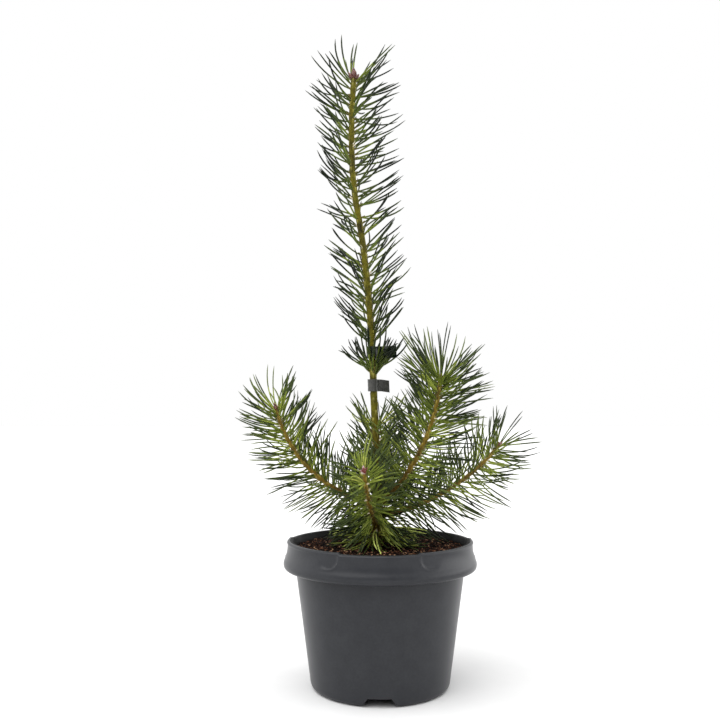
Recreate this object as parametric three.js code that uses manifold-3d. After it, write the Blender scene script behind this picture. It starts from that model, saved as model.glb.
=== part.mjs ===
// A young scots pine in a round nursery pot: the pot with its collar, the soil, the trunk from the
// soil to its tip, five boughs in a whorl near its foot, and the needles in masses of their own.
// Millimetres, +Z up. The origin is the middle of the pot's flat underside, and -Y is the front.

import * as THREE from 'three';
import { mergeVertices } from 'three/addons/utils/BufferGeometryUtils.js';
import Module from 'manifold-3d';

// Pot
const POT_SEGMENTS = 48;
const POT_TURN = -1.8;
const BASE_RADIUS = 70.9;
const BASE_ROUNDING = 6.7;
const BODY_TOP_RADIUS = 87.2;
const WALL = 1.8;
const FLOOR_UNDERSIDE = 10;
const FLOOR_TOP = 12;
const CENTRE_FOOT_RADIUS = 24;
const RING_FOOT_RADIUS = 58;
const FOOT_DRAFT = 3;
const COLLAR_BOTTOM = 119.3;
const COLLAR_WIDEST_HEIGHT = 126;
const COLLAR_WIDEST_RADIUS = 100;
const COLLAR_EDGE_RADIUS = 94.2;
const COLLAR_RADIUS = 96.9;
const COLLAR_WEB = 141;
const LIP_HEIGHT = 148.6;
const LIP_INNER_RADIUS = 90.7;
const FEATURES_ROUND = 3;
const PANEL_DEPTH = 0.9;
const PLAIN_HALF_ANGLE = 24;
const PANEL_CORNER_ANGLE = 9;
const PANEL_BOTTOM = 129;
const NOTCH_HEIGHT = 9;
const NOTCH_TOP_WIDTH = 23;
const NOTCH_FOOT_WIDTH = 37;
const NOTCH_OVERRUN = 5;
const DRAIN_RADIUS = 4.5;
const DRAIN_CIRCLE = 42;
const DRAINS = 6;
const DRAIN_SIDES = 10;

// Soil
const SOIL_TOP = 141;
const FIT_GAP = 0.35;

// Trunk: its axis passes through these places, evenly spaced in height, given as [x, y]
const GROUND = 141.4;
const TRUNK_TIP = 649.5;
const TRUNK_SWAY = [
  [-5.5, 1], [-1, 1], [-5, 0], [-7.6, -2], [-11.3, -4], [-18, -4], [-27.6, -1], [-29.8, 2], [-27, 4],
];
const TRUNK_SIDES = 9;
const TRUNK_RINGS = 38;
const TRUNK_PIECES = 24;
const TRUNK_FOOT_RADIUS = 4.6;
const TRUNK_TOP_RADIUS = 2.9;
const FLARE = 3.4;
const FLARE_HEIGHT = 8;
const BUD_LENGTH = 11;
const BUD_SWELL = 0.9;
const BUD_CLOSING = 2.4;

// Boughs: azimuth from +X towards +Y, elevation that turns evenly from root to tip, all in degrees.
// Tuft is the length of the needles that stand up round the bud, as a share of the needle's.
const BOUGHS = [
  { name: 'left', root: 184, azimuth: 188, rise: [10.5, 78.5], length: 161, bare: 13, radius: 2.7,
    spread: [68, 52], spacing: 1.55, needle: 53, lift: 0.04, tuft: 0.94, seed: 11 },
  { name: 'front', root: 163, azimuth: -101, rise: [22, 62], length: 100, bare: 11, radius: 2.5,
    spread: [84, 54], spacing: 1.1, needle: 49, tuft: 1, seed: 23 },
  { name: 'right_inner', root: 183, azimuth: -28, rise: [39, 86], length: 160, bare: 14, radius: 2.9,
    spread: [76, 52], spacing: 1.6, needle: 60, lift: 0.04, tuft: 1.14, seed: 37 },
  { name: 'right_outer', root: 172, azimuth: 22, rise: [6.5, 46.5], length: 173, bare: 14, radius: 2.7,
    spread: [66, 54], spacing: 1.9, needle: 54, lift: 0.04, tuft: 1, seed: 41 },
  { name: 'back', root: 169, azimuth: 84, rise: [18, 78], length: 118, bare: 13, radius: 2.6,
    spread: [74, 52], spacing: 1.8, needle: 50, lift: 0.04, tuft: 1, seed: 53 },
];
const BOUGH_TIP_RADIUS = 1.7;
const BOUGH_BUD_LENGTH = 7;
const BOUGH_BUD_SWELL = 0.7;
const AXIS_STEPS = 60;
const LIMB_SIDES = 8;
const LIMB_RINGS = 5;
const LIMB_PIECES = 3;
const STEM_SIDES = 6;
const STEM_RINGS = 14;
const STEM_CROWDING = 2;
const STEM_PIECES = 8;
const JOINT_GAP = 0.3;

// Needle masses on the trunk, each from one height to another on a thin core round it
const TRUNK_MASSES = [
  { name: 'trunk_low', from: 148, to: 158.5, spread: [108, 96], spacing: 0.55, needle: 50, seed: 61 },
  { name: 'trunk_middle', from: 193, to: 274, spread: [66, 34], spacing: 2.1, needle: 46, seed: 67 },
  { name: 'leader_low', from: 318, to: 334, spread: [36, 34], spacing: 1.6, needle: 45, seed: 71 },
  { name: 'leader_middle', from: 352, to: 494, spread: [36, 58], spacing: 2.4, needle: 50, seed: 79 },
  { name: 'leader_top', from: 495, to: 640, spread: [60, 54], spacing: 2.2, needle: 55, seed: 83,
    drift: 0.12, tuft: 0.94 },
];
const CORE_WALL = 0.9;
const CORE_RING_PITCH = 14;
const NEEDLE_MARGIN = 1;

// Tape bands wrapped round the stem, each with a free end that stands out to the right
const BANDS = [
  { name: 'upper', from: 337, to: 349.5, tail: 22, sweep: -4 },
  { name: 'lower', from: 302.5, to: 315, tail: 13, sweep: 3 },
];
const BAND_THICKNESS = 1.1;
const TAIL_THICKNESS = 0.9;

// Needles: a pair in one sheath counts as one slim three-sided cone
const GOLDEN_ANGLE = 137.508;
const NEEDLE_ROOT_RADIUS = 0.9;
const NEEDLE_CLEAR_RADIUS = 0.62;
const NEEDLE_SIDES = 3;
const TURN_PLAY = 26;
const LEAN_PLAY = 20;
const LENGTH_PLAY = 0.2;
const TUFT_START = 0.86;
const TUFT_CLOSE = 0.54;
const TRIES = 5;
const ROOT_SHARE = 0.16;
const ROOT_DEPTH = 0.6;
const POT_CLEARANCE = 2.2;

const materials = {
  pot: new THREE.MeshStandardMaterial({ color: 0x4a4d50, roughness: 0.45, metalness: 0 }),
  soil: new THREE.MeshStandardMaterial({ color: 0x3a2418, roughness: 0.95, metalness: 0 }),
  bark: new THREE.MeshStandardMaterial({ color: 0x7a6a35, roughness: 0.85, metalness: 0 }),
  tape: new THREE.MeshStandardMaterial({ color: 0x2c3a38, roughness: 0.5, metalness: 0 }),
  needles: new THREE.MeshStandardMaterial({ color: 0x4c6b2c, roughness: 0.6, metalness: 0 }),
};

const wasm = await Module();
wasm.setup();

const radians = THREE.MathUtils.degToRad;
const mix = THREE.MathUtils.lerp;
const vector = (x, y, z) => new THREE.Vector3(x, y, z);

function solidOf(geometry) {
  const bare = geometry.clone();
  bare.deleteAttribute('normal');
  bare.deleteAttribute('uv');
  const merged = mergeVertices(bare, 1e-4);
  const mesh = new wasm.Mesh({
    numProp: 3,
    vertProperties: new Float32Array(merged.attributes.position.array),
    triVerts: new Uint32Array(merged.index.array),
  });
  return new wasm.Manifold(mesh);
}

function geometryOf(solid) {
  const mesh = solid.getMesh();
  const geometry = new THREE.BufferGeometry();
  geometry.setAttribute('position', new THREE.BufferAttribute(mesh.vertProperties, 3));
  geometry.setIndex(new THREE.BufferAttribute(mesh.triVerts, 1));
  return geometry;
}

// A shape turned round the Z axis from a profile of [radius, height]
function turned(profile, segments) {
  const points = profile.map(([radius, height]) => new THREE.Vector2(radius, height));
  return new THREE.LatheGeometry(points, segments).rotateX(Math.PI / 2);
}

function arcPoints(centreRadius, centreHeight, radius, fromDegrees, toDegrees, steps) {
  const points = [];
  for (let i = 0; i <= steps; i += 1) {
    const angle = radians(mix(fromDegrees, toDegrees, i / steps));
    points.push([centreRadius + radius * Math.cos(angle), centreHeight + radius * Math.sin(angle)]);
  }
  return points;
}

// Pot: a tapered shell on a ring foot and a centre foot, with a hollow collar round its rim
const bodyRadius = (height) => mix(BASE_RADIUS, BODY_TOP_RADIUS, height / COLLAR_BOTTOM);
const insideRadius = (height) => bodyRadius(height) - WALL;

function potProfile() {
  const rounding = arcPoints(BASE_RADIUS - BASE_ROUNDING, BASE_ROUNDING, BASE_ROUNDING, -90, 0, 4);
  const skirtInside = COLLAR_RADIUS - WALL;
  return [
    [0, 0],
    [CENTRE_FOOT_RADIUS, 0],
    [CENTRE_FOOT_RADIUS + FOOT_DRAFT, FLOOR_UNDERSIDE],
    [RING_FOOT_RADIUS - FOOT_DRAFT, FLOOR_UNDERSIDE],
    [RING_FOOT_RADIUS, 0],
    ...rounding,
    [bodyRadius(COLLAR_BOTTOM), COLLAR_BOTTOM],
    [bodyRadius(COLLAR_WEB), COLLAR_WEB],
    [skirtInside, COLLAR_WEB],
    [COLLAR_WIDEST_RADIUS - WALL, COLLAR_WIDEST_HEIGHT],
    [COLLAR_EDGE_RADIUS - 0.8, COLLAR_BOTTOM + 1.4],
    [COLLAR_EDGE_RADIUS, COLLAR_BOTTOM],
    [COLLAR_WIDEST_RADIUS - 2.4, COLLAR_BOTTOM + 1.2],
    [COLLAR_WIDEST_RADIUS - 0.6, COLLAR_BOTTOM + 3.7],
    [COLLAR_WIDEST_RADIUS, COLLAR_WIDEST_HEIGHT],
    [COLLAR_WIDEST_RADIUS - 0.9, PANEL_BOTTOM],
    [COLLAR_RADIUS + 0.4, COLLAR_WIDEST_HEIGHT + 8],
    [COLLAR_RADIUS, COLLAR_WEB + 1.5],
    [COLLAR_RADIUS - 0.8, LIP_HEIGHT - 2.6],
    [COLLAR_RADIUS - 2.8, LIP_HEIGHT - 0.7],
    [LIP_INNER_RADIUS + 1.2, LIP_HEIGHT],
    [LIP_INNER_RADIUS, LIP_HEIGHT - 0.7],
    [insideRadius(COLLAR_WEB), COLLAR_WEB],
    [insideRadius(FLOOR_TOP + 5), FLOOR_TOP + 5],
    [insideRadius(FLOOR_TOP) - 4, FLOOR_TOP],
    [0, FLOOR_TOP],
  ];
}

// How far a moulded panel sinks into the collar: full between the plain zones, fading at its borders
function panelDepth(x, y, z) {
  const pitch = 360 / FEATURES_ROUND;
  const angle = THREE.MathUtils.radToDeg(Math.atan2(y, x)) + 90;
  const offset = Math.abs(THREE.MathUtils.euclideanModulo(angle + pitch / 2, pitch) - pitch / 2);
  const deepest = PLAIN_HALF_ANGLE + PANEL_CORNER_ANGLE;
  const across = THREE.MathUtils.smoothstep(offset, PLAIN_HALF_ANGLE - 2, deepest);
  const above = THREE.MathUtils.smoothstep(z, PANEL_BOTTOM, PANEL_BOTTOM + 4);
  return PANEL_DEPTH * across * above;
}

function potShell() {
  const geometry = turned(potProfile(), POT_SEGMENTS);
  const position = geometry.attributes.position;
  for (let i = 0; i < position.count; i += 1) {
    const [x, y, z] = [position.getX(i), position.getY(i), position.getZ(i)];
    const radius = Math.hypot(x, y);
    if (radius > COLLAR_RADIUS - 1 && z > COLLAR_WIDEST_HEIGHT) {
      const scale = 1 - panelDepth(x, y, z) / radius;
      position.setXY(i, x * scale, y * scale);
    }
  }
  return solidOf(geometry);
}

// A notch through the ring foot, wider at the ground, that lets water and air out of the pot
function notchSolid(azimuth) {
  const outline = new THREE.Shape([
    new THREE.Vector2(-NOTCH_FOOT_WIDTH / 2, -1),
    new THREE.Vector2(NOTCH_FOOT_WIDTH / 2, -1),
    new THREE.Vector2(NOTCH_TOP_WIDTH / 2, NOTCH_HEIGHT),
    new THREE.Vector2(-NOTCH_TOP_WIDTH / 2, NOTCH_HEIGHT),
  ]);
  const start = RING_FOOT_RADIUS - FOOT_DRAFT - NOTCH_OVERRUN;
  const depth = BASE_RADIUS + NOTCH_OVERRUN - start;
  const geometry = new THREE.ExtrudeGeometry(outline, { depth, bevelEnabled: false });
  geometry.rotateX(Math.PI / 2).translate(0, -start, 0);
  return solidOf(geometry.rotateZ(radians(azimuth)));
}

function drainSolid(azimuth) {
  const geometry = new THREE.CylinderGeometry(DRAIN_RADIUS, DRAIN_RADIUS, FLOOR_TOP, DRAIN_SIDES);
  geometry.rotateX(Math.PI / 2).translate(DRAIN_CIRCLE, 0, FLOOR_TOP);
  return solidOf(geometry.rotateZ(radians(azimuth)));
}

function pot() {
  let solid = potShell();
  for (let i = 0; i < FEATURES_ROUND; i += 1) {
    solid = solid.subtract(notchSolid((i * 360) / FEATURES_ROUND));
  }
  for (let i = 0; i < DRAINS; i += 1) {
    solid = solid.subtract(drainSolid(90 + (i * 360) / DRAINS));
  }
  return geometryOf(solid);
}

function soil() {
  const corner = FLOOR_TOP + 5;
  return turned([
    [0, FLOOR_TOP + FIT_GAP],
    [insideRadius(FLOOR_TOP) - 4.5, FLOOR_TOP + FIT_GAP],
    [insideRadius(corner) - 2 * FIT_GAP, corner],
    [insideRadius(SOIL_TOP) - 2 * FIT_GAP, SOIL_TOP - 1],
    [insideRadius(SOIL_TOP) - 12, SOIL_TOP],
    [0, SOIL_TOP],
  ], POT_SEGMENTS);
}

// Trunk axis: a Catmull-Rom line through the sway places
function trunkAxis(height) {
  const last = TRUNK_SWAY.length - 1;
  const place = THREE.MathUtils.clamp((height - GROUND) / (TRUNK_TIP - GROUND), 0, 1) * last;
  const index = Math.min(Math.floor(place), last - 1);
  const t = place - index;
  const sway = (coordinate) => {
    const a = TRUNK_SWAY[index][coordinate];
    const b = TRUNK_SWAY[index + 1][coordinate];
    const before = index > 0 ? TRUNK_SWAY[index - 1][coordinate] : 2 * a - b;
    const after = index < last - 1 ? TRUNK_SWAY[index + 2][coordinate] : 2 * b - a;
    const startSlope = (b - before) / 2;
    const endSlope = (after - a) / 2;
    const bend = 3 * (b - a) - 2 * startSlope - endSlope;
    const ease = 2 * (a - b) + startSlope + endSlope;
    return a + startSlope * t + bend * t * t + ease * t * t * t;
  };
  return vector(sway(0), sway(1), height);
}

function trunkRadius(height) {
  const rise = height - GROUND;
  const share = rise / (TRUNK_TIP - GROUND);
  const bole = mix(TRUNK_FOOT_RADIUS, TRUNK_TOP_RADIUS, Math.sqrt(share));
  return bole + FLARE * Math.exp(-rise / FLARE_HEIGHT);
}

// The trunk's end swells into the winter bud and closes to a blunt point
function trunkWithBudRadius(height) {
  const intoBud = THREE.MathUtils.clamp((height - (TRUNK_TIP - BUD_LENGTH)) / BUD_LENGTH, 0, 1);
  const bud = BUD_SWELL * Math.sin(Math.PI * Math.min(intoBud * 1.6, 1));
  const close = Math.sqrt(1 - 0.97 * intoBud ** BUD_CLOSING);
  return (trunkRadius(height) + bud) * close;
}

// A stretch of a limb: a closed cylinder bent along its axis, with a radius at each place.
// at(t) gives the centre and the two directions across the limb, for t from 0 to 1.
function limbGeometry(at, radius, sides, rings) {
  const geometry = new THREE.CylinderGeometry(1, 1, 1, sides, rings);
  const position = geometry.attributes.position;
  for (let i = 0; i < position.count; i += 1) {
    const t = position.getY(i) + 0.5;
    const { centre, across, over } = at(t);
    const place = centre.clone();
    place.addScaledVector(across, position.getZ(i) * radius(t));
    place.addScaledVector(over, position.getX(i) * radius(t));
    position.setXYZ(i, place.x, place.y, place.z);
  }
  return geometry;
}

function levelFrame(height) {
  const centre = trunkAxis(height);
  return { centre, along: vector(0, 0, 1), across: vector(1, 0, 0), over: vector(0, 1, 0) };
}

// A sleeve's outside or a band's, level at both ends
function trunkStretch(from, to, grown, rings) {
  const heightAt = (t) => mix(from, to, t);
  const radius = (t) => trunkRadius(heightAt(t)) + grown;
  return limbGeometry((t) => levelFrame(heightAt(t)), radius, TRUNK_SIDES, rings);
}

// The whole trunk, its rings closer together at the flare and at the bud
function wholeTrunk(grown) {
  const heightAt = (t) => mix(GROUND, TRUNK_TIP, mix(t, THREE.MathUtils.smoothstep(t, 0, 1), 0.7));
  const radius = (t) => trunkWithBudRadius(heightAt(t)) + grown;
  return limbGeometry((t) => levelFrame(heightAt(t)), radius, TRUNK_SIDES, TRUNK_RINGS);
}

function boughDirection(bough, share) {
  const rise = radians(mix(bough.rise[0], bough.rise[1], share));
  const azimuth = radians(bough.azimuth);
  return vector(Math.cos(rise) * Math.cos(azimuth), Math.cos(rise) * Math.sin(azimuth), Math.sin(rise));
}

// Bough axis: points two or three millimetres apart along a line whose elevation turns evenly
function boughAxis(bough) {
  const points = [trunkAxis(bough.root)];
  const step = bough.length / AXIS_STEPS;
  for (let i = 0; i < AXIS_STEPS; i += 1) {
    const direction = boughDirection(bough, (i + 0.5) / AXIS_STEPS);
    points.push(points[i].clone().addScaledVector(direction, step));
  }
  return points;
}

function boughFrame(bough, s) {
  const place = THREE.MathUtils.clamp((s / bough.length) * AXIS_STEPS, 0, AXIS_STEPS - 1e-6);
  const index = Math.floor(place);
  const centre = bough.axis[index].clone().lerp(bough.axis[index + 1], place - index);
  const azimuth = radians(bough.azimuth);
  const along = boughDirection(bough, s / bough.length);
  const across = vector(-Math.sin(azimuth), Math.cos(azimuth), 0);
  return { centre, along, across, over: along.clone().cross(across) };
}

const boughRadius = (bough, s) => mix(bough.radius, BOUGH_TIP_RADIUS, s / bough.length);

// A stretch of a bough, its rings closer together towards the tip where crowded is above 1
function boughStretch(bough, from, to, sides, rings, radiusAt, crowded = 1) {
  const placeAt = (t) => mix(from, to, 1 - (1 - t) ** crowded);
  return limbGeometry((t) => boughFrame(bough, placeAt(t)), (t) => radiusAt(placeAt(t)), sides, rings);
}

// Shortest distance between two straight stretches
function stretchDistance(a, b, c, d) {
  const ab = b.clone().sub(a);
  const cd = d.clone().sub(c);
  const ca = a.clone().sub(c);
  const [aa, bb, mixed, ea, fb] = [ab.dot(ab), cd.dot(cd), ab.dot(cd), ab.dot(ca), cd.dot(ca)];
  const spread = aa * bb - mixed * mixed;
  let s = spread > 1e-9 ? THREE.MathUtils.clamp((mixed * fb - ea * bb) / spread, 0, 1) : 0;
  const t = THREE.MathUtils.clamp((mixed * s + fb) / bb, 0, 1);
  s = THREE.MathUtils.clamp((mixed * t - ea) / aa, 0, 1);
  return a.clone().addScaledVector(ab, s).distanceTo(c.clone().addScaledVector(cd, t));
}

function seeded(seed) {
  let state = seed;
  return () => {
    state = (state * 48271) % 2147483647;
    return state / 2147483647;
  };
}

// What a needle keeps clear of: stretches with a radius and an owner. A needle's own stretch also names
// the place where it is clear of its root.
const obstacles = [];

function addObstacles(owner, at, radius, count) {
  for (let i = 0; i < count; i += 1) {
    obstacles.push({ owner, from: at(i / count), to: at((i + 1) / count), radius });
  }
}

const overLip = (point) => Math.hypot(point.x, point.y) > LIP_INNER_RADIUS - POT_CLEARANCE;

// A needle that hangs down to the soil or the lip rests just over it instead
function settledTip(root, direction, length) {
  const tip = root.clone().addScaledVector(direction, length);
  const lowest = (overLip(tip) ? LIP_HEIGHT : SOIL_TOP) + POT_CLEARANCE;
  if (tip.z >= lowest) return tip;
  const flat = vector(direction.x, direction.y, 0).normalize();
  const drop = lowest - root.z;
  return root.clone().addScaledVector(flat, Math.sqrt(length * length - drop * drop)).setZ(lowest);
}

function keepsToPot(root, tip) {
  return [0.4, 0.6, 0.8, 1].every((share) => {
    const point = root.clone().lerp(tip, share);
    return point.z >= (overLip(point) ? LIP_HEIGHT : SOIL_TOP) + POT_CLEARANCE - 0.01;
  });
}

// A needle's root may touch its own mass and the limb that carries it, and nothing else
function isClear(shoot, needle) {
  if (!keepsToPot(needle.root, needle.tip)) return false;
  return obstacles.every((obstacle) => {
    const near = obstacle.owner === shoot.name || obstacle.owner === shoot.carrier;
    if (obstacle.owner === shoot.name && !obstacle.outer) return true;
    const reach = obstacle.radius + NEEDLE_CLEAR_RADIUS + JOINT_GAP;
    const start = near ? needle.outer : needle.root;
    const from = near && obstacle.outer ? obstacle.outer : obstacle.from;
    return stretchDistance(start, needle.tip, from, obstacle.to) > reach;
  });
}

// How far a needle stands up round the bud at the end of its shoot, as every second one does there
function tuftAt(shoot, k, share) {
  return shoot.tuft && k % 2 === 0 ? THREE.MathUtils.smoothstep(share, TUFT_START, 1) : 0;
}

// The growth rule: one needle at each step along the stem, a golden angle on from the last.
// frameAt(s) gives the stem's place and directions, and a needle that touches anything is tried again.
function growNeedles(shoot, from, to, frameAt, radiusAt) {
  const random = seeded(shoot.seed);
  const needles = [];
  const count = Math.floor((to - from) / shoot.spacing);
  for (let k = 0; k < count; k += 1) {
    const s = from + (k + 0.5) * shoot.spacing;
    const { centre, along, across, over } = frameAt(s);
    for (let attempt = 0; attempt < TRIES; attempt += 1) {
      const turn = radians(k * GOLDEN_ANGLE + (random() - 0.5) * TURN_PLAY * (1 + attempt));
      const tuft = tuftAt(shoot, k, k / count);
      const spread = mix(shoot.spread[0], shoot.spread[1], k / count) * (1 - TUFT_CLOSE * tuft);
      const lean = radians(spread + (random() - 0.5) * LEAN_PLAY);
      const longer = tuft * ((shoot.tuft ?? 1) - 1);
      const length = shoot.needle * (1 + longer + (random() - 0.5) * LENGTH_PLAY);
      const outward = across.clone().multiplyScalar(Math.cos(turn)).addScaledVector(over, Math.sin(turn));
      const direction = along.clone().multiplyScalar(Math.cos(lean));
      direction.addScaledVector(outward, Math.sin(lean));
      direction.add(vector(shoot.drift ?? 0, 0, shoot.lift ?? 0)).normalize();
      const root = centre.clone().addScaledVector(outward, radiusAt(s) * ROOT_DEPTH);
      const tip = settledTip(root, direction, length);
      const needle = { root, tip, outer: root.clone().lerp(tip, ROOT_SHARE) };
      if (isClear(shoot, needle)) {
        const { outer } = needle;
        obstacles.push({ owner: shoot.name, from: root, outer, to: tip, radius: NEEDLE_CLEAR_RADIUS });
        needles.push(needle);
        break;
      }
    }
  }
  return needles;
}

function needleSolid({ root, tip }) {
  const reach = tip.clone().sub(root);
  const length = reach.length();
  const geometry = new THREE.ConeGeometry(NEEDLE_ROOT_RADIUS, length, NEEDLE_SIDES);
  geometry.translate(0, length / 2, 0);
  const turn = new THREE.Quaternion().setFromUnitVectors(vector(0, 1, 0), reach.normalize());
  return solidOf(geometry.applyQuaternion(turn).translate(root.x, root.y, root.z));
}

function fused(core, needles) {
  return needles.reduce((solid, needle) => solid.add(needleSolid(needle)), core);
}

// Every limb is worked out first, so that each needle can keep clear of all of them
for (const bough of BOUGHS) {
  bough.axis = boughAxis(bough);
  bough.carrier = `bough_${bough.name}`;
}
for (const mass of TRUNK_MASSES) mass.carrier = 'trunk';

addObstacles('trunk', (t) => trunkAxis(mix(GROUND, TRUNK_TIP, t)), TRUNK_FOOT_RADIUS, TRUNK_PIECES);
for (const bough of BOUGHS) {
  const bareEnd = bough.bare / bough.length;
  const place = (s) => boughFrame(bough, s).centre;
  addObstacles(bough.carrier, (t) => place(t * bareEnd * bough.length), bough.radius, LIMB_PIECES);
  addObstacles(bough.name, (t) => place(mix(bough.bare, bough.length, t)), bough.radius, STEM_PIECES);
}
for (const band of BANDS) {
  const middle = trunkAxis((band.from + band.to) / 2);
  const end = middle.clone().add(vector(TRUNK_TOP_RADIUS + BAND_THICKNESS + band.tail, band.sweep, 0));
  const half = (band.to - band.from) / 2;
  for (const rise of [-half, 0, half]) {
    const offset = vector(0, 0, rise);
    obstacles.push({
      owner: 'band', from: middle.clone().add(offset), to: end.clone().add(offset), radius: half / 2,
    });
  }
}

const trunkClearance = solidOf(wholeTrunk(JOINT_GAP));

function boughStemRadius(bough, s) {
  const intoBud = THREE.MathUtils.clamp((s - bough.length) / BOUGH_BUD_LENGTH + 1, 0, 1);
  const bud = BOUGH_BUD_SWELL * Math.sin(Math.PI * Math.min(intoBud * 1.5, 1));
  return (boughRadius(bough, s) + bud) * Math.sqrt(1 - 0.95 * intoBud ** BUD_CLOSING);
}

function boughMass(bough) {
  const radiusAt = (s) => boughStemRadius(bough, s);
  const start = bough.bare + JOINT_GAP;
  const end = bough.length;
  const stem = solidOf(boughStretch(bough, start, end, STEM_SIDES, STEM_RINGS, radiusAt, STEM_CROWDING));
  const frameAt = (s) => boughFrame(bough, s);
  const needles = growNeedles(bough, start + NEEDLE_MARGIN, end - BOUGH_BUD_LENGTH, frameAt, radiusAt);
  return geometryOf(fused(stem, needles));
}

function trunkMass(mass) {
  const rings = Math.max(2, Math.round((mass.to - mass.from) / CORE_RING_PITCH));
  const grown = JOINT_GAP + CORE_WALL;
  const core = solidOf(trunkStretch(mass.from, mass.to, grown, rings));
  const radiusAt = (height) => (trunkRadius(height) + JOINT_GAP) / ROOT_DEPTH;
  const [from, to] = [mass.from + NEEDLE_MARGIN, mass.to - NEEDLE_MARGIN];
  const needles = growNeedles(mass, from, to, levelFrame, radiusAt);
  return geometryOf(fused(core, needles).subtract(trunkClearance));
}

function bandGeometry(band) {
  const middle = trunkAxis((band.from + band.to) / 2);
  const height = band.to - band.from;
  const outer = solidOf(trunkStretch(band.from, band.to, JOINT_GAP + BAND_THICKNESS, 1));
  const length = band.tail + 4;
  const tail = new THREE.BoxGeometry(length, TAIL_THICKNESS, height - 0.6);
  tail.translate(length / 2, 0, 0).rotateZ(Math.atan2(band.sweep, band.tail));
  tail.translate(middle.x + TRUNK_TOP_RADIUS - 1, middle.y, middle.z);
  return geometryOf(outer.add(solidOf(tail)).subtract(trunkClearance));
}

function boughLimb(bough) {
  const limb = boughStretch(bough, 0, bough.bare, LIMB_SIDES, LIMB_RINGS, (s) => boughRadius(bough, s));
  return geometryOf(solidOf(limb).subtract(trunkClearance));
}

const model = new THREE.Group();

function addPart(name, geometry, material) {
  const mesh = new THREE.Mesh(geometry, material);
  mesh.name = name;
  model.add(mesh);
  return mesh;
}

addPart('pot', pot(), materials.pot).rotation.z = radians(POT_TURN);
addPart('soil', soil(), materials.soil);
addPart('trunk', wholeTrunk(0), materials.bark);
for (const bough of BOUGHS) {
  addPart(`bough_${bough.name}`, boughLimb(bough), materials.bark);
}
for (const band of BANDS) addPart(`tape_band_${band.name}`, bandGeometry(band), materials.tape);
for (const bough of BOUGHS) addPart(`needles_${bough.name}`, boughMass(bough), materials.needles);
for (const mass of TRUNK_MASSES) addPart(`needles_${mass.name}`, trunkMass(mass), materials.needles);

export default model;
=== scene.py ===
import math

import bpy
import numpy as np
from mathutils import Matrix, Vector, noise


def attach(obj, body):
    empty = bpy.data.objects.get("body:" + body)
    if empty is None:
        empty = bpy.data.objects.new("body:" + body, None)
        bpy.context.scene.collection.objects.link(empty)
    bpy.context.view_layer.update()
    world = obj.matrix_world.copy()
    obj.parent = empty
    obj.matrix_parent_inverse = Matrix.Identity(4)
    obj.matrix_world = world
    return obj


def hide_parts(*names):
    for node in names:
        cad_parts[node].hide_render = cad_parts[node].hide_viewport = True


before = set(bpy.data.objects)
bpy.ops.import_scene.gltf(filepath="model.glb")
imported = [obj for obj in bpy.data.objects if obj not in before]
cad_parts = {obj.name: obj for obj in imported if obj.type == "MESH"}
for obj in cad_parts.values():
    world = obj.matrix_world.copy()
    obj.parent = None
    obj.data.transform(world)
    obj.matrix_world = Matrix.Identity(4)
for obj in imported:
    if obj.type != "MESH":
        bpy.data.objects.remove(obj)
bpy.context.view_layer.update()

# Camera: nine tenths of a metre in front of the pot and a little to its left, with the lens fourteen
# centimetres above the rim and tilted up a few degrees.
CAMERA_PLACE = (-0.0208, -0.8995, 0.2846)
CAMERA_TILT = 3.17
CAMERA_LENS = 42.78

camera = bpy.data.objects.new("camera", bpy.data.cameras.new("camera"))
camera.location = CAMERA_PLACE
camera.rotation_euler = (math.radians(90 + CAMERA_TILT), 0, 0)
camera.data.sensor_fit = "HORIZONTAL"
camera.data.lens = CAMERA_LENS
bpy.context.scene.collection.objects.link(camera)
bpy.context.scene.camera = camera
bpy.context.scene.view_settings.view_transform = "Standard"

# Pot: a three litre nursery pot, moulded in one piece from dark slate grey plastic. Its thin wall
# stands on a ring foot with three wide notches, and a hollow collar with sunk panels stiffens its rim.
MM = 0.001
POT_SIDES = 360
POT_TURN = -1.8
BASE_RADIUS = 70.9
BODY_TOP_RADIUS = 87.2
WALL = 1.8
FLOOR_UNDERSIDE = 10
FLOOR_TOP = 12
COLLAR_BOTTOM = 119.3
COLLAR_WEB = 141
COLLAR_RADIUS = 96.9
LIP_HEIGHT = 148.6
LIP_INNER_RADIUS = 90.7
LIP_DROP = 1.1
LIP_BAND = 3.2
LIP_PAINTED_SHADE = 2.4
FEATURES_ROUND = 3
PLAIN_HALF_ANGLE = 23.5
PANEL_DEPTH = 1.1
PANEL_BOTTOM = 132.5
PANEL_CORNER = 11
PANEL_BORDER = 1.7
PANEL_FADE = (13, 26)
FADED_BORDER = 9
BEAD_HEIGHT = 0.5
BEAD_WIDTH = 1.0
BEAD_OUTSIDE = 0.3
FACE_DEPTH = 1.2
FACE_FROM = 2
LIP_BAND_EDGE = 1.6
LIP_SUNK_SHARE = 0.35
LIP_DROP_FADE = (-6, -1)
LIP_DROP_EDGE = 1.2
CREST_HEIGHT = 0.5
CREST_PLACE = 1.5
CREST_WIDTH = 1.6
RING_PITCH = 9
COLLAR_RING_PITCH = 0.9
COLLAR_REACH = 4
SKIRT_RADIUS = 94
SKIRT_EDGE = 0.5
PAINTED_SHADE_MARGIN = 0.1
CORNER_LIMIT = 0.48
NOTCH_HEIGHT = 9
NOTCH_TOP_WIDTH = 23
NOTCH_FOOT_WIDTH = 37
NOTCH_REACH = (76, 50)
DRAIN_RADIUS = 4.5
DRAIN_CIRCLE = 42
DRAIN_SIDES = 24
DRAINS = 6
SHARP_FROM = 42


def body_radius(height):
    return BASE_RADIUS + (BODY_TOP_RADIUS - BASE_RADIUS) * height / COLLAR_BOTTOM


def smoothstep(low, high, value):
    share = np.clip((value - low) / (high - low), 0, 1)
    return share * share * (3 - 2 * share)


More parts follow.
